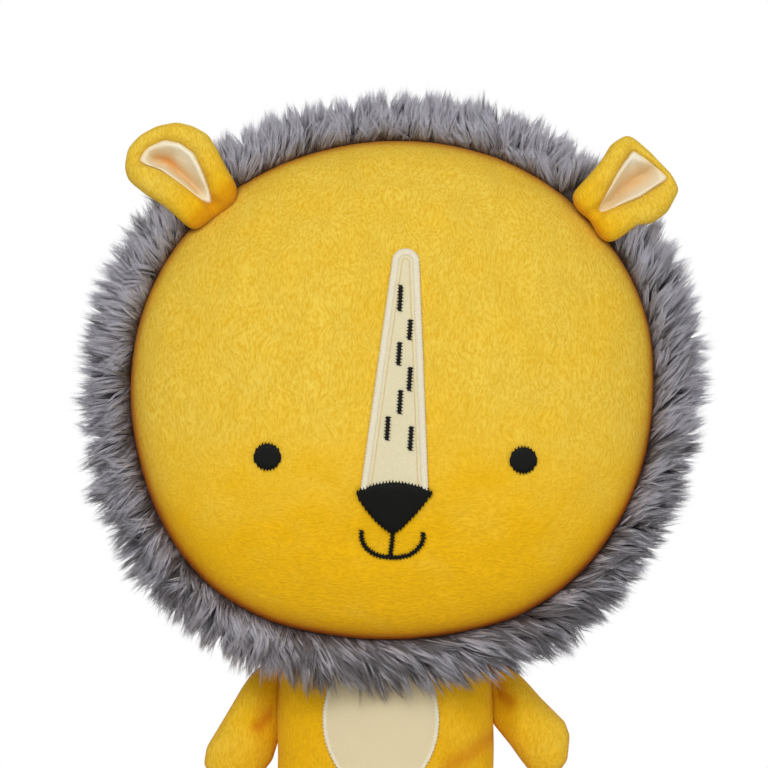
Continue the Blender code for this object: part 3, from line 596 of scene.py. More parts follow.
def thread(name, slot, colour, shadow, sheen):
    """Twisted polyester thread, glossy along its strands."""
    finish = Finish(name, slot, 0.1, roughness=0.5, sheen_weight=sheen, sheen_roughness=0.4)
    twist = finish.noise(finish.warp(finish.place(), 1.5, 0.6), 0.22, 2, (1, 1, 1.8))
    finish.feed("Base Color", finish.blend(finish.stretch(twist, 0.35, 0.65), shadow, colour))
    finish.bump(twist, 0.12)
    return finish


black_thread = thread(
    "black_thread", "black_thread", (0.007, 0.007, 0.006, 1), (0.002, 0.002, 0.002, 1), 0.0
)
cream_thread = thread(
    "cream_thread", "cream_thread", (0.84, 0.78, 0.60, 1), (0.74, 0.67, 0.50, 1), 0.1
)


def slab(columns, rows):
    """A closed flat slab: x and y from -1 to 1 over its faces, z 0 below and 1 above."""
    bm = bmesh.new()
    bmesh.ops.create_grid(bm, x_segments=columns, y_segments=rows, size=1)
    faces = bmesh.ops.extrude_face_region(bm, geom=bm.faces[:], use_keep_orig=True)
    for item in faces["geom"]:
        if isinstance(item, bmesh.types.BMVert):
            item.co.z = 1
    return bm


def on_face(x, z, lift):
    """A place on the face, across and up from its middle, and this far ahead of the cloth."""
    return np.stack((x + HEAD_X, HEAD_Y - face_height(x, z) - lift, z + HEAD_Z), 1)


def satin(sides, length, surface, lift, height, columns=6, slant=0.0, ragged=0.2, pitch=STITCH):
    """Satin stitch between two sides, which give points for shares along the band.

    The thread turns back at each edge, so every second stitch reaches past it, by this many
    millimetres, and the next one stops short.
    """
    count = max(3, round(length / pitch))

    def form(u, v, w):
        row = np.rint((v + 1) * count).astype(int)
        crest = row % 2
        share = np.clip((v + 1) / 2, 0, 1)
        x1, z1 = sides(np.clip(share - slant, 0, 1), -1)
        x2, z2 = sides(np.clip(share + slant, 0, 1), 1)
        wide = np.maximum(np.hypot(x2 - x1, z2 - z1), 0.05)
        slack = 0.7 + 0.6 * (np.sin(row * 12.9898) * 43758.5453 % 1)
        out = np.where(crest, np.cos(np.pi * (row // 2 + (u > 0))) * slack, -0.5)
        across = 0.5 + 0.5 * u * (1 + 2 * ragged * out / wide)
        dome = np.sqrt(np.maximum(0, 1 - np.abs(u) ** 4))
        top = lift + height * (0.4 + 0.6 * dome) - GROOVE * (1 - crest)
        x, z = x1 + (x2 - x1) * across, z1 + (z2 - z1) * across
        return surface(x, z, top * w - UNDER * (1 - w))

    return shaped(slab(columns, 2 * count), form)


def stroke(points, width):
    """The two sides of a line of one width along points, and its length."""
    points = np.array(points, float)
    steps = np.hypot(*np.diff(points, axis=0).T)
    along = np.concatenate(((0,), np.cumsum(steps)))

    def sides(share, side):
        spot = share * along[-1]
        ahead = np.minimum(spot + 0.2, along[-1])
        behind = np.maximum(spot - 0.2, 0)
        x, z = (np.interp(spot, along, column) for column in points.T)
        dx, dz = (
            np.interp(ahead, along, column) - np.interp(behind, along, column)
            for column in points.T
        )
        size = np.maximum(np.hypot(dx, dz), 1e-6)
        return x - side * width / 2 * dz / size, z + side * width / 2 * dx / size

    return sides, along[-1]


def stitched(name, points, width, surface, lift, height, finish, body, replaced, **more):
    sides, length = stroke(points, width)
    bm = satin(sides, length, surface, lift, height, **more)
    finished(name, bm, finish, body, replaced)


# Blaze. A tapered patch of cream minky runs from the nose up the brow. Its edge is bound with
# a band of cream satin stitch, and a fine beige tacking line runs inside it.
BLAZE_FOOT, BLAZE_TOP = -27.3, 38.9
BLAZE_BORDER, BLAZE_UNDER_BORDER = 2.3, 1.2
PATCH_LIFT, PATCH_THICKNESS = 0.1, 0.8
ON_PATCH = PATCH_LIFT + PATCH_THICKNESS


def blaze_half(z):
    return 10.0 - 0.0882 * (z - BLAZE_FOOT)


def blaze_middle(z):
    return 0.75 + 0.0498 * (z - BLAZE_FOOT)


def blaze_line(inset, foot):
    """Points up one edge, round the top and down the other edge."""
    up = np.linspace(foot, BLAZE_TOP, 40)
    half = blaze_half(up) - inset
    left = np.stack((blaze_middle(up) - half, up), 1)
    right = np.stack((blaze_middle(up) + half, up), 1)[::-1]
    turn = np.linspace(np.pi, 0, 18)[1:-1]
    top_half = blaze_half(BLAZE_TOP) - inset
    arc = (blaze_middle(BLAZE_TOP) + top_half * np.cos(turn), BLAZE_TOP + top_half * np.sin(turn))
    return np.concatenate((left, np.stack(arc, 1), right))


def blaze_patch(u, v, w):
    share = (v + 1) / 2
    half = blaze_half(BLAZE_FOOT + share * (BLAZE_TOP - BLAZE_FOOT)) - BLAZE_UNDER_BORDER
    top = (blaze_half(BLAZE_TOP) - BLAZE_UNDER_BORDER) * np.sqrt(np.maximum(0, 1 - u * u))
    z = BLAZE_FOOT - 1.5 + share * (BLAZE_TOP - BLAZE_FOOT + 1.5) + top * share**8
    x = blaze_middle(z) + u * half
    return on_face(x, z, PATCH_LIFT + PATCH_THICKNESS * w)


patch_cloth = minky(
    "patch_cloth",
    "cream_minky",
    pale=(0.75, 0.68, 0.46, 1),
    deep=(0.68, 0.60, 0.38, 1),
    brushed=(0.73, 0.66, 0.44, 1),
    seam=(0.70, 0.60, 0.38, 1),
    pile=0.3,
    depth=0.15,
)
finished("blaze_cloth", shaped(slab(16, 90), blaze_patch), patch_cloth, "head", "blaze_patch")
binding_line = blaze_line(BLAZE_BORDER / 2, BLAZE_FOOT - 1.6)
stitched(
    "blaze_binding", binding_line, BLAZE_BORDER, on_face, 0.3, 1.1, cream_thread, "head",
    "blaze_border", columns=7, slant=0.0008, ragged=0.15,
)  # fmt: skip
beige_thread = thread(
    "beige_thread", "cream_thread", (0.76, 0.62, 0.36, 1), (0.62, 0.46, 0.22, 1), 0.05
)
tacking_line = blaze_line(3.1, BLAZE_FOOT - 0.5)
stitched(
    "blaze_tacking", tacking_line, 0.42, on_face, ON_PATCH, 0.16, beige_thread, "head",
    "blaze_border", columns=3, ragged=0.05,
)  # fmt: skip
# Each dash's middle, across and up, and its length
DASHES = (
    (2.40, 28.2, 7.9),
    (5.28, 18.8, 6.2),
    (2.05, 11.7, 7.0),
    (5.22, 4.2, 7.2),
    (2.34, -2.6, 7.2),
    (-1.36, -10.4, 7.2),
    (5.52, -13.4, 7.3),
)
for number, (x, z, length) in enumerate(DASHES, 1):
    dash = ((x - 0.25, z - length / 2), (x, z), (x + 0.2, z + length / 2))
    stitched(
        f"dash_{number}", dash, 1.5, on_face, ON_PATCH, 0.6, black_thread, "head",
        f"blaze_dash_{number}", slant=0.02, ragged=0.3,
    )  # fmt: skip


# Nose, mouth and eyes. Black satin stitch straight on the face cloth: upright stitches fill
# the nose under its arched top, and the mouth is one curved line.
CLOTH_LIFT = 0.3
# Places across the nose, with the levels of its upper and lower edge there
NOSE_OUTLINE = (
    (-10.6, -29.3, -30.4), (-9.6, -28.4, -32.3), (-7.5, -27.6, -35.2), (-5.0, -26.9, -38.2),
    (-2.5, -26.4, -40.4), (-0.6, -26.2, -41.7), (0.15, -26.2, -42.0), (1.0, -26.2, -41.7),
    (3.0, -26.3, -40.3), (6.0, -26.9, -37.2), (9.0, -27.7, -33.8), (11.0, -28.6, -31.2),
    (12.0, -29.4, -30.2),
)  # fmt: skip
nose_x, nose_top, nose_bottom = np.array(NOSE_OUTLINE).T
nose_width = nose_x[-1] - nose_x[0]


def nose_sides(share, side):
    x = nose_x[0] + share * nose_width
    return x, np.interp(x, nose_x, nose_top if side < 0 else nose_bottom)


nose_bm = satin(nose_sides, nose_width, on_face, 0.75, 0.9, columns=14, ragged=0.42)
finished("nose", nose_bm, black_thread, "head", "nose_embroidery")
NOSE_LINE = ((0.15, -41.2), (0.05, -44), (-0.35, -47), (-0.6, -49.0))
stitched(
    "nose_line", NOSE_LINE, 1.35, on_face, CLOTH_LIFT, 0.7, black_thread, "head",
    "nose_line_embroidery", ragged=0.26,
)  # fmt: skip
MOUTH = (
    (-8.95, -40.7), (-9.15, -42.4), (-8.8, -44.3), (-7.7, -46.1), (-5.9, -47.6), (-3.6, -48.5),
    (-0.8, -48.95), (2.2, -48.9), (4.9, -48.3), (7.0, -47.0), (8.6, -45.2), (9.3, -43.2),
    (9.25, -41.3),
)  # fmt: skip
stitched(
    "mouth", MOUTH, 1.4, on_face, CLOTH_LIFT, 0.7, black_thread, "head",
    "mouth_embroidery", ragged=0.28, slant=0.004,
)  # fmt: skip
EYE_RADIUS = 4.1
for side, (x, z) in {"right": (-37.06, -18.9), "left": (39.0, -19.9)}.items():

    def eye_sides(share, end, x=x, z=z):
        half = EYE_RADIUS * np.sqrt(np.maximum(0.06, 1 - (2 * share - 1) ** 2))
        return x + EYE_RADIUS * (2 * share - 1), z + end * half

    eye_bm = satin(eye_sides, 2 * EYE_RADIUS, on_face, CLOTH_LIFT, 0.9, columns=10, ragged=0.38)
    finished(f"eye_{side}", eye_bm, black_thread, "head", f"eye_{side}")


# Ears. Each is a leaf of yellow minky lined with cream, folded together at its base and
# opened at its tip, then sewn into the head's seam ahead of the mane.
# In the lining, the brushed and seam colours paint the shade and reflected yellow light inside
# the fold
cream_minky = minky(
    "cream_minky",
    "cream_minky",
    pale=(0.94, 0.90, 0.74, 1),
    deep=(0.86, 0.79, 0.58, 1),
    brushed=(0.81, 0.60, 0.27, 1),
    seam=(0.72, 0.28, 0.01, 1),
    pile=0.35,
    depth=0.25,
)
# Places across and up, as seen from ahead: the edges of the ear and of its lining, the crease of
# its fold, and the spot where the crease's painted shade is darkest; then that painted shade's
# strength and width
EARS = {
    "right": {
        "middle": (-62.0, 214.0),
        "outer": (
            (-78.4, 213.5), (-77.4, 219.5), (-73.7, 223.5), (-68.7, 226.2), (-62.7, 227.4),
            (-57.8, 226.2), (-53.3, 223.7), (-50.3, 218.8), (-48.0, 214.0), (-45.3, 209.5),
            (-44.2, 207.1), (-45.3, 203.1), (-48.8, 200.6), (-51.0, 199.3), (-53.8, 196.9),
            (-57.8, 194.4), (-61.7, 198.1), (-67.2, 202.6), (-72.2, 205.8), (-77.2, 209.8),
        ),
        "inner": (
            (-73.7, 216.0), (-71.2, 219.5), (-66.2, 221.7), (-61.7, 220.7), (-57.8, 217.8),
            (-55.3, 213.0), (-53.3, 207.6), (-51.8, 201.5), (-56.3, 205.1), (-60.7, 208.6),
            (-64.7, 211.5), (-68.7, 213.8), (-73.2, 214.5),
        ),
        "crease": ((-69.2, 216.8), (-65.5, 216.0), (-60.0, 210.8), (-55.8, 206.3)),
        "shade_spot": (-65.0, 215.5),
        "shadow": 0.8,
        "fold": 1.2,
    },
    "left": {
        "middle": (74.0, 209.3),
        "outer": (
            (72.5, 223.7), (67.8, 220.7), (65.0, 215.9), (61.7, 212.0), (55.7, 205.4),
            (57.5, 200.9), (61.7, 197.9), (63.5, 193.7), (66.8, 190.7), (70.4, 192.5),
            (75.2, 196.0), (80.3, 197.0), (84.8, 200.3), (88.4, 207.2), (86.0, 211.7),
            (79.7, 218.3), (74.9, 222.5),
        ),
        "inner": (
            (63.3, 199.7), (65.6, 204.0), (68.6, 209.6), (71.4, 214.4), (74.3, 218.6),
            (79.7, 215.0), (85.1, 210.5), (80.9, 207.9), (76.4, 205.1), (69.5, 202.2),
        ),
        "crease": ((63.9, 200.5), (69.0, 205.3), (74.0, 209.6), (79.6, 213.4)),
        "shade_spot": (74.0, 209.6),
        "shadow": 0.4,
        "fold": 2.8,
    },
}  # fmt: skip
EAR_MIDDLE_Y, EAR_AHEAD, EAR_BEHIND = -27.0, 5.4, 5.4
OUTER_SOFTNESS, INNER_SOFTNESS = 4.0, 3.5
# The share of the ear's front half, from its middle, that is the hollow behind the lining
DISH = 0.5


def star(points, middle, soften):
    """A closed outline's reach from its middle by angle, with its corners softened."""
    places = np.array(points) - middle
    angle = np.arctan2(places[:, 1], places[:, 0])
    order = np.argsort(angle)
    count = 240
    even = np.linspace(-np.pi, np.pi, count, endpoint=False)
    closed = np.concatenate((places[order][-1:], places[order], places[order][:1]))
    before, after = angle[order][-1:] - 2 * np.pi, angle[order][:1] + 2 * np.pi
    turn = np.concatenate((before, angle[order], after))
    reach = np.empty(count)
    for number, direction in enumerate(even):
        corner = np.searchsorted(turn, direction, "right")
        a, b = closed[corner - 1], closed[corner]
        way = np.array((np.cos(direction), np.sin(direction)))
        edge = b - a
        reach[number] = (a[0] * edge[1] - a[1] * edge[0]) / (way[0] * edge[1] - way[1] * edge[0])
    kernel = np.exp(-((np.arange(-12, 13) / soften) ** 2))
    kernel /= kernel.sum()
    soft = sum(part * np.roll(reach, step) for part, step in zip(kernel, range(-12, 13)))
    return lambda turned: around(turned + np.pi, soft)


def to_line(x, z, points):
    """How far places are from a bent line."""
    best = np.full(np.shape(x), 1e9)
    for (x1, z1), (x2, z2) in zip(points, points[1:]):
        dx, dz = x2 - x1, z2 - z1
        share = np.clip(((x - x1) * dx + (z - z1) * dz) / (dx * dx + dz * dz), 0, 1)
        best = np.minimum(best, np.hypot(x - x1 - share * dx, z - z1 - share * dz))
    return best


def ear_dish(x, z, share, crease):
    """The lining's depth: a lip at the opening, and a fold down to the crease."""
    fold = near(to_line(x, z, crease), 2.9, 1.5)
    lip = 1.9 * near(share - 0.8, 0.22)
    return EAR_MIDDLE_Y - 2.0 - lip + 6.0 * fold * (1 - share**6)


def ear_outer_form(ear):
    outer = star(ear["outer"], ear["middle"], OUTER_SOFTNESS)
    inner = star(ear["inner"], ear["middle"], INNER_SOFTNESS)

    def form(x, y, z):
        flat = np.minimum(np.hypot(x, z), 1)
        angle = np.arctan2(z, x)
        far = outer(angle)
        close = np.minimum(inner(angle), far - 2.2)
        # Ahead, the inner part of the ball is the dish and the rest the rolled rim
        in_dish, ahead = flat <= DISH, y < 1e-6
        across = np.clip((flat - DISH) / (1 - DISH), 0, 1)
        rolled = (1 - np.cos(np.pi * across)) / 2
        reach = np.where(in_dish, close * flat / DISH, close + (far - close) * rolled)
        reach = np.where(ahead, reach, far * np.sin(flat * np.pi / 2))
        px = ear["middle"][0] + reach * np.cos(angle)
        pz = ear["middle"][1] + reach * np.sin(angle)
        wide = np.clip((far - close) / 9, 0.55, 1)
        rim = EAR_MIDDLE_Y - EAR_AHEAD * np.sin(np.pi * across) ** 0.75 * wide
        rim += 2.2 * (1 - across) ** 6 * wide
        floor = ear_dish(px, pz, flat / DISH, ear["crease"]) + 1.6
        edge_level = EAR_MIDDLE_Y + 2.2 * wide
        floor = floor + (edge_level - floor) * np.clip(flat / DISH, 0, 1) ** 10
        back = EAR_MIDDLE_Y + EAR_BEHIND * np.cos(flat * np.pi / 2) ** 0.8
        py = np.where(ahead, np.where(in_dish, floor, rim), back)
        return np.stack((px, py + 0.35 * ripple(px * 1.7, pz * 1.7), pz), 1)

    return form


def ear_lining_form(ear):
    inner = star(ear["inner"], ear["middle"], INNER_SOFTNESS)

    def form(x, y, z):
        flat = np.minimum(np.hypot(x, z), 1)
        angle = np.arctan2(z, x)
        reach = (inner(angle) + 0.5) * flat
        px = ear["middle"][0] + reach * np.cos(angle)
        pz = ear["middle"][1] + reach * np.sin(angle)
        front = ear_dish(px, pz, flat, ear["crease"]) + 1.6 * flat**14
        py = np.where(y < -1e-6, front, front + 1.0 * (1 - flat**4) + 0.02)
        return np.stack((px, py, pz), 1)

    return form


def ear_shades(x, y, z):
    """The pile is deeper in colour towards the seam, where the fold presses it down."""
    far = np.hypot(x - HEAD_X, z - HEAD_Z) - 76
    return {"brushed": 1.15 - far / 16, "parted": 0.45 * near(np.maximum(far - 2.5, 0), 2.0)}


def lining_shades(ear):
    """Painted shade and reflected yellow light fill the lining's crease, darkest at one spot, and
    the crease narrows towards the head.
    """

    def shades(x, y, z):
        away = to_line(x, z, ear["crease"])
        open_up = np.clip(0.3 + (np.hypot(x - HEAD_X, z - HEAD_Z) - 80) / 12, 0.3, 1.2)
        shade_spot = near(np.hypot(x - ear["shade_spot"][0], z - ear["shade_spot"][1]), 4.5)
        shadow = ear["shadow"] * (0.4 + 0.6 * shade_spot)
        # Both attributes paint the crease: orange painted shade round it, and darker painted
        # shade in it
        return {
            "brushed": 0.85 * near(away, 3.6) * np.minimum(open_up + 0.2, 1),
            "parted": shadow * near(away, ear["fold"] * open_up, 1.5),
        }

    return shades


for side, ear in EARS.items():
    finished(
        f"ear_{side}_cloth", shaped(ball(120, 60), ear_outer_form(ear)), yellow_minky,
        f"ear_{side}", f"ear_{side}_outer", shades=ear_shades,
    )  # fmt: skip
    finished(
        f"ear_{side}_lining_cloth", shaped(ball(120, 60), ear_lining_form(ear)), cream_minky,
        f"ear_{side}", f"ear_{side}_lining", shades=lining_shades(ear),
    )  # fmt: skip


# Body. A front and a back panel of yellow minky make a small pear-shaped body, flat below
# where it sits, and its neck is sewn into the head.
BODY_STEP, BODY_SOFTNESS = 0.5, 4
# At each height: half the width, half the depth, and how far back the middle is
BODY_ROWS = (
    (0.0, 18.7, 12.8, -4.0), (1.0, 25.0, 17.1, -4.0), (2.0, 28.1, 19.2, -4.0),
    (3.5, 30.7, 20.9, -3.9), (5.0, 32.0, 21.8, -3.8), (7.0, 32.8, 22.3, -3.7),
    (11.0, 33.0, 22.5, -3.4), (25.0, 33.2, 22.4, -1.2), (40.0, 33.2, 20.1, 1.3),
    (50.0, 33.2, 17.8, 1.9), (60.0, 32.6, 16.2, 1.6), (65.0, 27.7, 14.2, 0.0),
    (70.5, 21.0, 11.7, -2.2), (76.0, 20.9, 13.6, -4.2), (82.0, 20.9, 14.4, -5.0),
    (89.0, 18.3, 12.6, -5.0), (94.0, 11.7, 8.0, -5.0), (96.3, 0.0, 0.0, -5.0),
)  # fmt: skip
# The share of the ball, from its lower pole, that becomes the flat of the seat
SEAT_SHARE = 0.06
# A fold of slack cloth runs up to the left arm's seam
BODY_FOLD = ((32.5, 41.0), (26.0, 36.5), (19.0, 33.0))
body_rows = np.array(BODY_ROWS)
body_top = body_rows[-1, 0]
body_heights = np.arange(0, body_top + BODY_STEP, BODY_STEP)


def eased(values):
    """The body's outline with its corners drawn round, as stuffed cloth has them."""
    kernel = np.exp(-((np.arange(-9, 10) / BODY_SOFTNESS) ** 2))
    smooth = np.convolve(np.pad(values, 9, "edge"), kernel / kernel.sum(), "valid")
    keep = np.clip(np.minimum(body_heights - 4, body_top - 8 - body_heights) / 6, 0, 1)
    return values + (smooth - values) * keep


body_outline = [
    eased(np.interp(body_heights, body_rows[:, 0], body_rows[:, part])) for part in (1, 2, 3)
]


def body_section(height):
    return [np.interp(height, body_heights, values) for values in body_outline]


def body_form(x, y, z):
    share = np.arcsin(np.clip(z, -1, 1)) / np.pi + 0.5
    turn = np.arctan2(y, x)
    height = body_top * np.clip((share - SEAT_SHARE) / (1 - SEAT_SHARE), 0, 1)
    half_width, half_depth, middle = body_section(height)
    foot = np.clip(share / SEAT_SHARE, 0, 1)
    half_width, half_depth = half_width * foot, half_depth * foot
    seam = near(np.sin(turn), 0.07) * 0.5 * foot
    loose = 0.5 * np.sin(turn * 5 + height / 7) * np.sin(height / 9.0) * foot
    loose *= np.clip((70 - height) / 10, 0, 1)
    px = (half_width - seam + 0.5 * loose) * np.cos(turn)
    py = middle + (half_depth - seam + 0.3 * loose) * np.sin(turn)
    fold = near(to_line(px, height, BODY_FOLD), 2.4) * (np.sin(turn) < 0)
    return np.stack((px, py + 0.9 * fold, height), 1)


def body_shades(x, y, z):
    at_seam = 0.6 * near(y - body_section(z)[2], 2.6)
    # Painted shade in the fold beside the left arm, and under the head round the neck
    fold_shade = 0.45 * near(to_line(x, z, BODY_FOLD), 2.6) * (y < 0)
    return {"brushed": 0.9, "parted": 0.06 + at_seam + fold_shade + 0.5 * near(z - 84, 5)}


body_bm = shaped(ball(144, 100, "Z"), body_form)
body = finished(
    "body_cover", body_bm, yellow_minky, "torso", "torso_front_panel", "torso_back_panel",
    shades=body_shades,
)  # fmt: skip


# Belly. An oval of the blaze's cream minky, sewn flat on the chest. Its edge is bound with
# cream satin stitch.
BELLY_X, BELLY_Z, BELLY_HALF_WIDTH, BELLY_HALF_HEIGHT = -1.35, 47.0, 17.7, 21.5
BELLY_BORDER, BELLY_UNDER_BORDER = 1.3, 0.8


def on_chest(x, z, lift):
    half_width, half_depth, middle = body_section(z)
    bulge = np.sqrt(np.maximum(0, 1 - (x / half_width) ** 2))
    return np.stack((x, middle - half_depth * bulge - lift, z), 1)


def belly_form(x, y, z):
    return on_chest(
        BELLY_X + x * (BELLY_HALF_WIDTH - BELLY_UNDER_BORDER),
        BELLY_Z + z * (BELLY_HALF_HEIGHT - BELLY_UNDER_BORDER),
        0.05 + PATCH_THICKNESS * (y < 0),
    )


belly_bm = shaped(ball(72, 36), belly_form)
finished(
    "belly_cloth", belly_bm, patch_cloth, "torso", "belly_patch",
    shades=lambda x, y, z: {"parted": 0.7},
)  # fmt: skip
turns = np.linspace(0, 2 * np.pi, 121)
belly_edge = np.stack(
    (
        BELLY_X + (BELLY_HALF_WIDTH - BELLY_BORDER / 2) * np.cos(turns),
        BELLY_Z + (BELLY_HALF_HEIGHT - BELLY_BORDER / 2) * np.sin(turns),
    ),
    1,
)
stitched(
    "belly_binding", belly_edge, BELLY_BORDER, on_chest, 0.75, 0.3, cream_thread, "torso",
    "belly_border", ragged=0.2, pitch=0.55,
)  # fmt: skip


# Arms. Flat cushions of two panels, each sewn by its straight inner edge into the body's side
# seam, so that they hang a little outward.
ARM_Y, ARM_HALF = 1.86, 6.4
ROOT_X, ROOT_RUN, ROOT_FLATNESS = 32.0, 9.0, 0.30
# Each arm's middle, its outline and the crease beside its seam, across and up
ARMS = {
    "right": (
        (-44.0, 43.5),
        (
            (-30.6, 65.2), (-33.8, 64.2), (-37.2, 62.8), (-40.5, 60.6), (-44.0, 55.5),
            (-47.5, 49.5), (-51.5, 42.8), (-54.7, 37.5), (-55.6, 32.0), (-52.0, 27.5),
            (-45.0, 26.3), (-38.5, 28.5), (-34.6, 33.5), (-32.6, 40.0), (-31.8, 43.5),
            (-31.8, 52.0),
        ),
        ((-31.8, 51.5), (-34.5, 48.3), (-38.8, 44.0)),
    ),
    "left": (
        (44.0, 44.5),
        (
            (30.4, 65.6), (35.6, 63.2), (39.8, 61.0), (43.6, 57.1), (47.6, 52.6),
            (55.0, 45.2), (56.5, 41.0), (55.8, 33.5), (53.0, 29.6), (49.0, 28.5),
            (44.5, 29.8), (41.6, 33.5), (38.0, 38.5), (34.0, 43.4), (31.8, 46.5), (31.8, 54.0),
        ),
        ((31.8, 57.0), (34.5, 54.5), (38.0, 52.0)),
    ),
}  # fmt: skip


def cushion(flat, angle, from_root, half, power, softness):
    """Half the thickness of a stuffed limb, flat at its root and puckered along its seam."""
    root = soft_step(np.clip(from_root / ROOT_RUN, 0, 1))
    thick = ROOT_FLATNESS + (1 - ROOT_FLATNESS) * root
    swell = half * crown(flat, power, softness) * thick + 0.3 * (1 - flat**12)
    return swell + 0.25 * np.sin(angle * 37) * near(flat - 0.93, 0.05)


for side, (middle, outline, fold) in ARMS.items():
    arm_reach = star(outline, middle, 2.0)

    def arm_form(x, y, z, middle=middle, arm_reach=arm_reach, fold=fold):
        flat = np.minimum(np.hypot(x, z), 1)
        angle = np.arctan2(z, x)
        reach = arm_reach(angle) * flat
        px = middle[0] + reach * np.cos(angle)
        pz = middle[1] + reach * np.sin(angle)
        swell = cushion(flat, angle, np.abs(px) - ROOT_X, ARM_HALF, 2.2, 0.6)
        swell -= 0.06 * swell * near(to_line(px, pz, fold), 1.8) * (y < 0)
        return np.stack((px, ARM_Y + np.sign(y) * (np.abs(y) > 1e-6) * swell, pz), 1)

    def arm_shades(x, y, z, fold=fold):
        # Painted shade in the crease beside the arm's seam
        fold_shade = 0.6 * near(to_line(x, z, fold), 2.2) * (y < 0)
        brushed = 1.1 - (np.abs(x) - ROOT_X) / 30
        return {"brushed": brushed, "parted": 0.7 * near(y - ARM_Y, 1.2) + fold_shade}

    arm = finished(
        f"arm_{side}_cover", shaped(ball(96, 48), arm_form), yellow_minky, f"arm_{side}",
        f"arm_{side}_front_panel", f"arm_{side}_back_panel", shades=arm_shades,
    )  # fmt: skip


# Legs. Short cushions that point forward from the seat, a top and a sole panel each, soft
# enough below to lie flat on the table.
LEG_ROOT, LEG_WAY = (17.11, -23.23), (0.3793, -0.9253)
LEG_LEVEL, LEG_HALF, LEG_SQUARENESS = 9.5, (25.0, 12.5, 10.0), 2.7
ROOT_TO_MIDDLE = 20.0
LEG_UNDERSIDE = 0.05
for side, sign in (("left", 1), ("right", -1)):

    def leg_form(x, y, z, sign=sign):
        flat = np.minimum(np.hypot(x, y), 1)
        angle = np.arctan2(y, x)
        lengthwise = np.abs(np.cos(angle) / LEG_HALF[0]) ** LEG_SQUARENESS
        sidewise = np.abs(np.sin(angle) / LEG_HALF[1]) ** LEG_SQUARENESS
        reach = (lengthwise + sidewise) ** (-1 / LEG_SQUARENESS)
        # The root ends in a straight seam
        rootward = np.maximum(-np.cos(angle), 1e-3)
        reach = np.where(np.cos(angle) < 0, np.minimum(reach, ROOT_TO_MIDDLE / rootward), reach)
        out = flat * reach * np.cos(angle) + ROOT_TO_MIDDLE
        across = flat * reach * np.sin(angle)
        swell = cushion(flat, angle, out, LEG_HALF[2], 2.0, 0.62)
        px = sign * (LEG_ROOT[0] + LEG_WAY[0] * out) - LEG_WAY[1] * across * sign
        py = LEG_ROOT[1] + LEG_WAY[1] * out + LEG_WAY[0] * across
        pz = LEG_LEVEL + np.sign(z) * (np.abs(z) > 1e-6) * swell
        return np.stack((px, py, np.maximum(pz, LEG_UNDERSIDE)), 1)

    leg = finished(
        f"leg_{side}_cover", shaped(ball(96, 48, "Z"), leg_form), yellow_minky, f"leg_{side}",
        f"leg_{side}_top_panel", f"leg_{side}_sole_panel",
        shades=lambda x, y, z: {"brushed": 0.6, "parted": 0.6 * near(z - LEG_LEVEL, 1.0)},
    )  # fmt: skip


# Tail. A thin stuffed tube of minky sewn low into the back seam, with a tuft of the mane's
# fur round its end.
TAIL_ROOT_Y, TAIL_ROOT_Z, TAIL_LENGTH, TAIL_SWAY = 19.98, 12.0, 55.0, 10.0
TAIL_THIN, TAIL_SWELL = 2.2, 2.6
TAIL_CAUGHT = 1.1
TUFT_LEVEL, TUFT_STRANDS, TUFT_LOCKS, TUFT_SEED = 8.0, 7000, 120, 5


def tail_middle(share):
    sway, away = TAIL_SWAY * share**2, TAIL_ROOT_Y + TAIL_LENGTH * share
    return np.stack((sway, away, TAIL_ROOT_Z + (TUFT_LEVEL - TAIL_ROOT_Z) * share), 1)


def tail_form(x, y, z):
    share = np.arcsin(np.clip(z, -1, 1)) / np.pi + 0.5
    turn = np.arctan2(y, x)
    # The flat end of the tube is caught in the seam
    caught = np.clip(1 - share / 0.02, 0, 1)[:, None] * (0, -TAIL_CAUGHT, 0)
    radius = TAIL_THIN + TAIL_SWELL * soft_step(np.clip(share / 0.25, 0, 1))
    ends = np.minimum(share * TAIL_LENGTH / 0.3, (1 - share) * TAIL_LENGTH / 2.5)
    radius = radius * np.sqrt(np.maximum(0, 1 - (1 - np.clip(ends, 0, 1)) ** 2))
    radius = radius * (1 + 0.04 * np.sin(turn * 3 + share * 21))
    side = np.stack((radius * np.cos(turn), 0 * turn, radius * np.sin(turn)), 1)
    return tail_middle(share) + side + caught


tail = finished(
    "tail_sleeve", shaped(ball(48, 60, "Z"), tail_form), yellow_minky, "tail", "tail_cover",
    shades=lambda x, y, z: {"brushed": 0.6, "parted": 0.5 * near(y - TAIL_ROOT_Y, 2.5)},
)  # fmt: skip


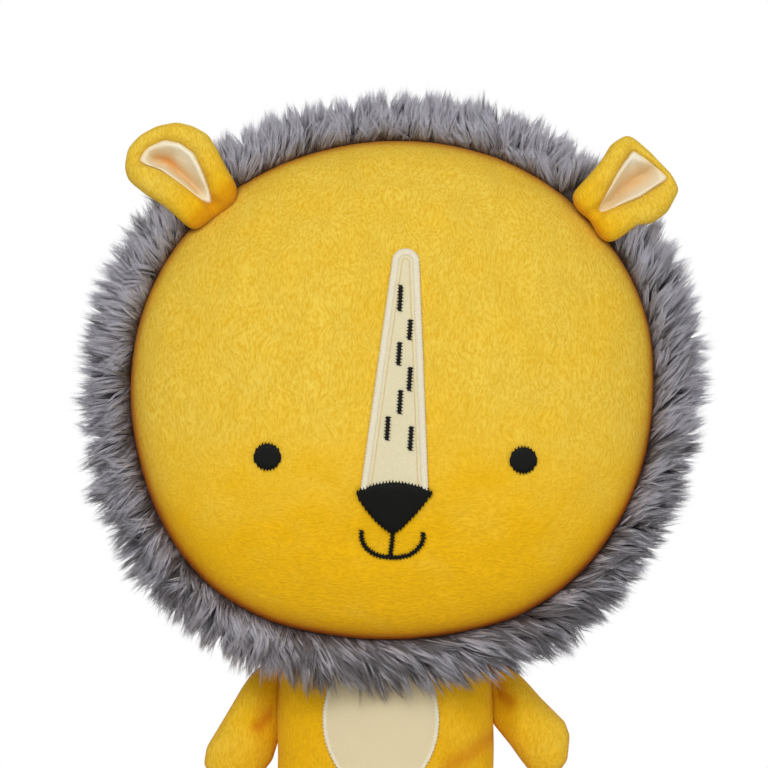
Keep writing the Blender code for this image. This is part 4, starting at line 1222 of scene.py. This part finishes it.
def tuft_strands():
    """Strands round the tail's end, which lean together in locks past it."""
    dice = np.random.default_rng(TUFT_SEED)

    def starts(number):
        """Roots round the tail's end and over it, and the way each one leaves the cloth."""
        share = dice.uniform(0.86, 1.02, number)
        turn = dice.uniform(0, 2 * np.pi, number)
        thin = np.sqrt(np.clip((1.02 - share) / 0.05, 0, 1))[:, None]
        out = np.stack((np.cos(turn), 0 * turn, np.sin(turn)), 1) * thin
        return out, tail_middle(np.minimum(share, 0.995)) + out * 4.4

    out, lock_root = starts(TUFT_LOCKS)
    along = unit_rows(tail_middle(np.ones(1)) - tail_middle(np.full(1, 0.95)))
    wander = dice.normal(0, 0.15, (TUFT_LOCKS, 3))
    lock_reach = dice.uniform(15, 20, (TUFT_LOCKS, 1))
    lock_tip = lock_root + unit_rows(along * 0.9 + out * 0.40 + wander) * lock_reach
    lock_tone = dice.uniform(0.05, 0.95, TUFT_LOCKS)
    out, root = starts(TUFT_STRANDS)
    lock = ((root[:, None] - lock_root[None]) ** 2).sum(2).argmin(1)
    own = root + unit_rows(along * 0.9 + out * 0.5) * dice.uniform(12, 18, (TUFT_STRANDS, 1))
    tip = own + (lock_tip[lock] - own) * dice.uniform(0.4, 0.85, (TUFT_STRANDS, 1))
    bend = root + (out * 0.55 + along * 0.45) * 7.5
    for rows in (root, bend, tip):
        rows[:, 2] = np.maximum(rows[:, 2], 0.3)
    width = dice.uniform(0.24, 0.42, TUFT_STRANDS)
    tone = np.clip(lock_tone[lock] + dice.normal(0, 0.1, TUFT_STRANDS), 0.02, 0.98)
    return root, bend, tip, width, tone


strand_pieces("tail_fur", *tuft_strands(), grey_fur, "tail", "tail_tuft")


# Lamps and floor. One broad soft lamp above and ahead, a fill lamp and a back lamp, an even
# white room, and a floor that fades to the white background.
ROOM_LIGHT = 0.42
FLOOR_RADIUS, FLOOR_BELOW = 400, 0.0002
FADE_FROM, FADE_TO = 0.11, 0.25
WHITE = (1, 1, 1, 1)


def area_lamp(name, place, target, size, power):
    data = bpy.data.lights.new(name, "AREA")
    data.shape, data.size, data.energy = "DISK", size, power
    lamp = bpy.data.objects.new(name, data)
    aim = Vector(target) - Vector(place)
    lamp.location = place
    lamp.rotation_euler = aim.to_track_quat("-Z", "Y").to_euler()
    bpy.context.collection.objects.link(lamp)


area_lamp("key_lamp", (-0.25, -1.4, 0.8), (0, 0, 0.13), 0.9, 12.3)
area_lamp("fill_lamp", (0.9, -1.3, 0.35), (0, 0, 0.12), 0.9, 3.7)
area_lamp("back_lamp", (0.3, 1.35, 0.95), (0, 0, 0.12), 1.0, 9)

# The camera sees the room white, and its walls light the lion only softly
world = bpy.data.worlds.new("room")
bpy.context.scene.world = world
world.use_nodes = True
room = Nodes(world.node_tree)
camera_ray, glossy_ray, through_ray = (
    room.node("ShaderNodeLightPath", output=kind)
    for kind in ("Is Camera Ray", "Is Glossy Ray", "Is Transmission Ray")
)
seen = camera_ray.maths("MAXIMUM", camera_ray, glossy_ray)
seen = seen.maths("MAXIMUM", seen, through_ray)
sky = room.tree.nodes["Background"]
sky.inputs["Color"].default_value = WHITE
room.tree.links.new((seen * (1 - ROOM_LIGHT) + ROOM_LIGHT).socket, sky.inputs["Strength"])

floor_bm = bmesh.new()
bmesh.ops.create_circle(floor_bm, cap_ends=True, segments=96, radius=FLOOR_RADIUS)
floor = put_in_place("floor", floor_bm)
floor.location = (0, 0, -FLOOR_BELOW)
ground = Finish("floor", roughness=0.8, base_color=(0.9, 0.9, 0.9, 1))
spot = ground.place()
away = ground.node("ShaderNodeVectorMath", {"operation": "LENGTH"}, {0: spot}, 1)
smooth = {"interpolation_type": "SMOOTHSTEP"}
fade = ground.node("ShaderNodeMapRange", smooth, {0: away, 1: FADE_FROM, 2: FADE_TO})
glow = ground.node("ShaderNodeEmission", None, {"Color": WHITE, "Strength": 1})
shade = Value(ground, ground.shader.outputs[0])
to_camera = ground.node("ShaderNodeLightPath")
mixed = ground.node("ShaderNodeMixShader", None, {0: fade * to_camera, 1: shade, 2: glow})
ground.tree.links.new(mixed.socket, ground.tree.nodes["Material Output"].inputs[0])
floor.data.materials.append(ground.material)

bpy.context.scene.view_settings.view_transform = "Standard"
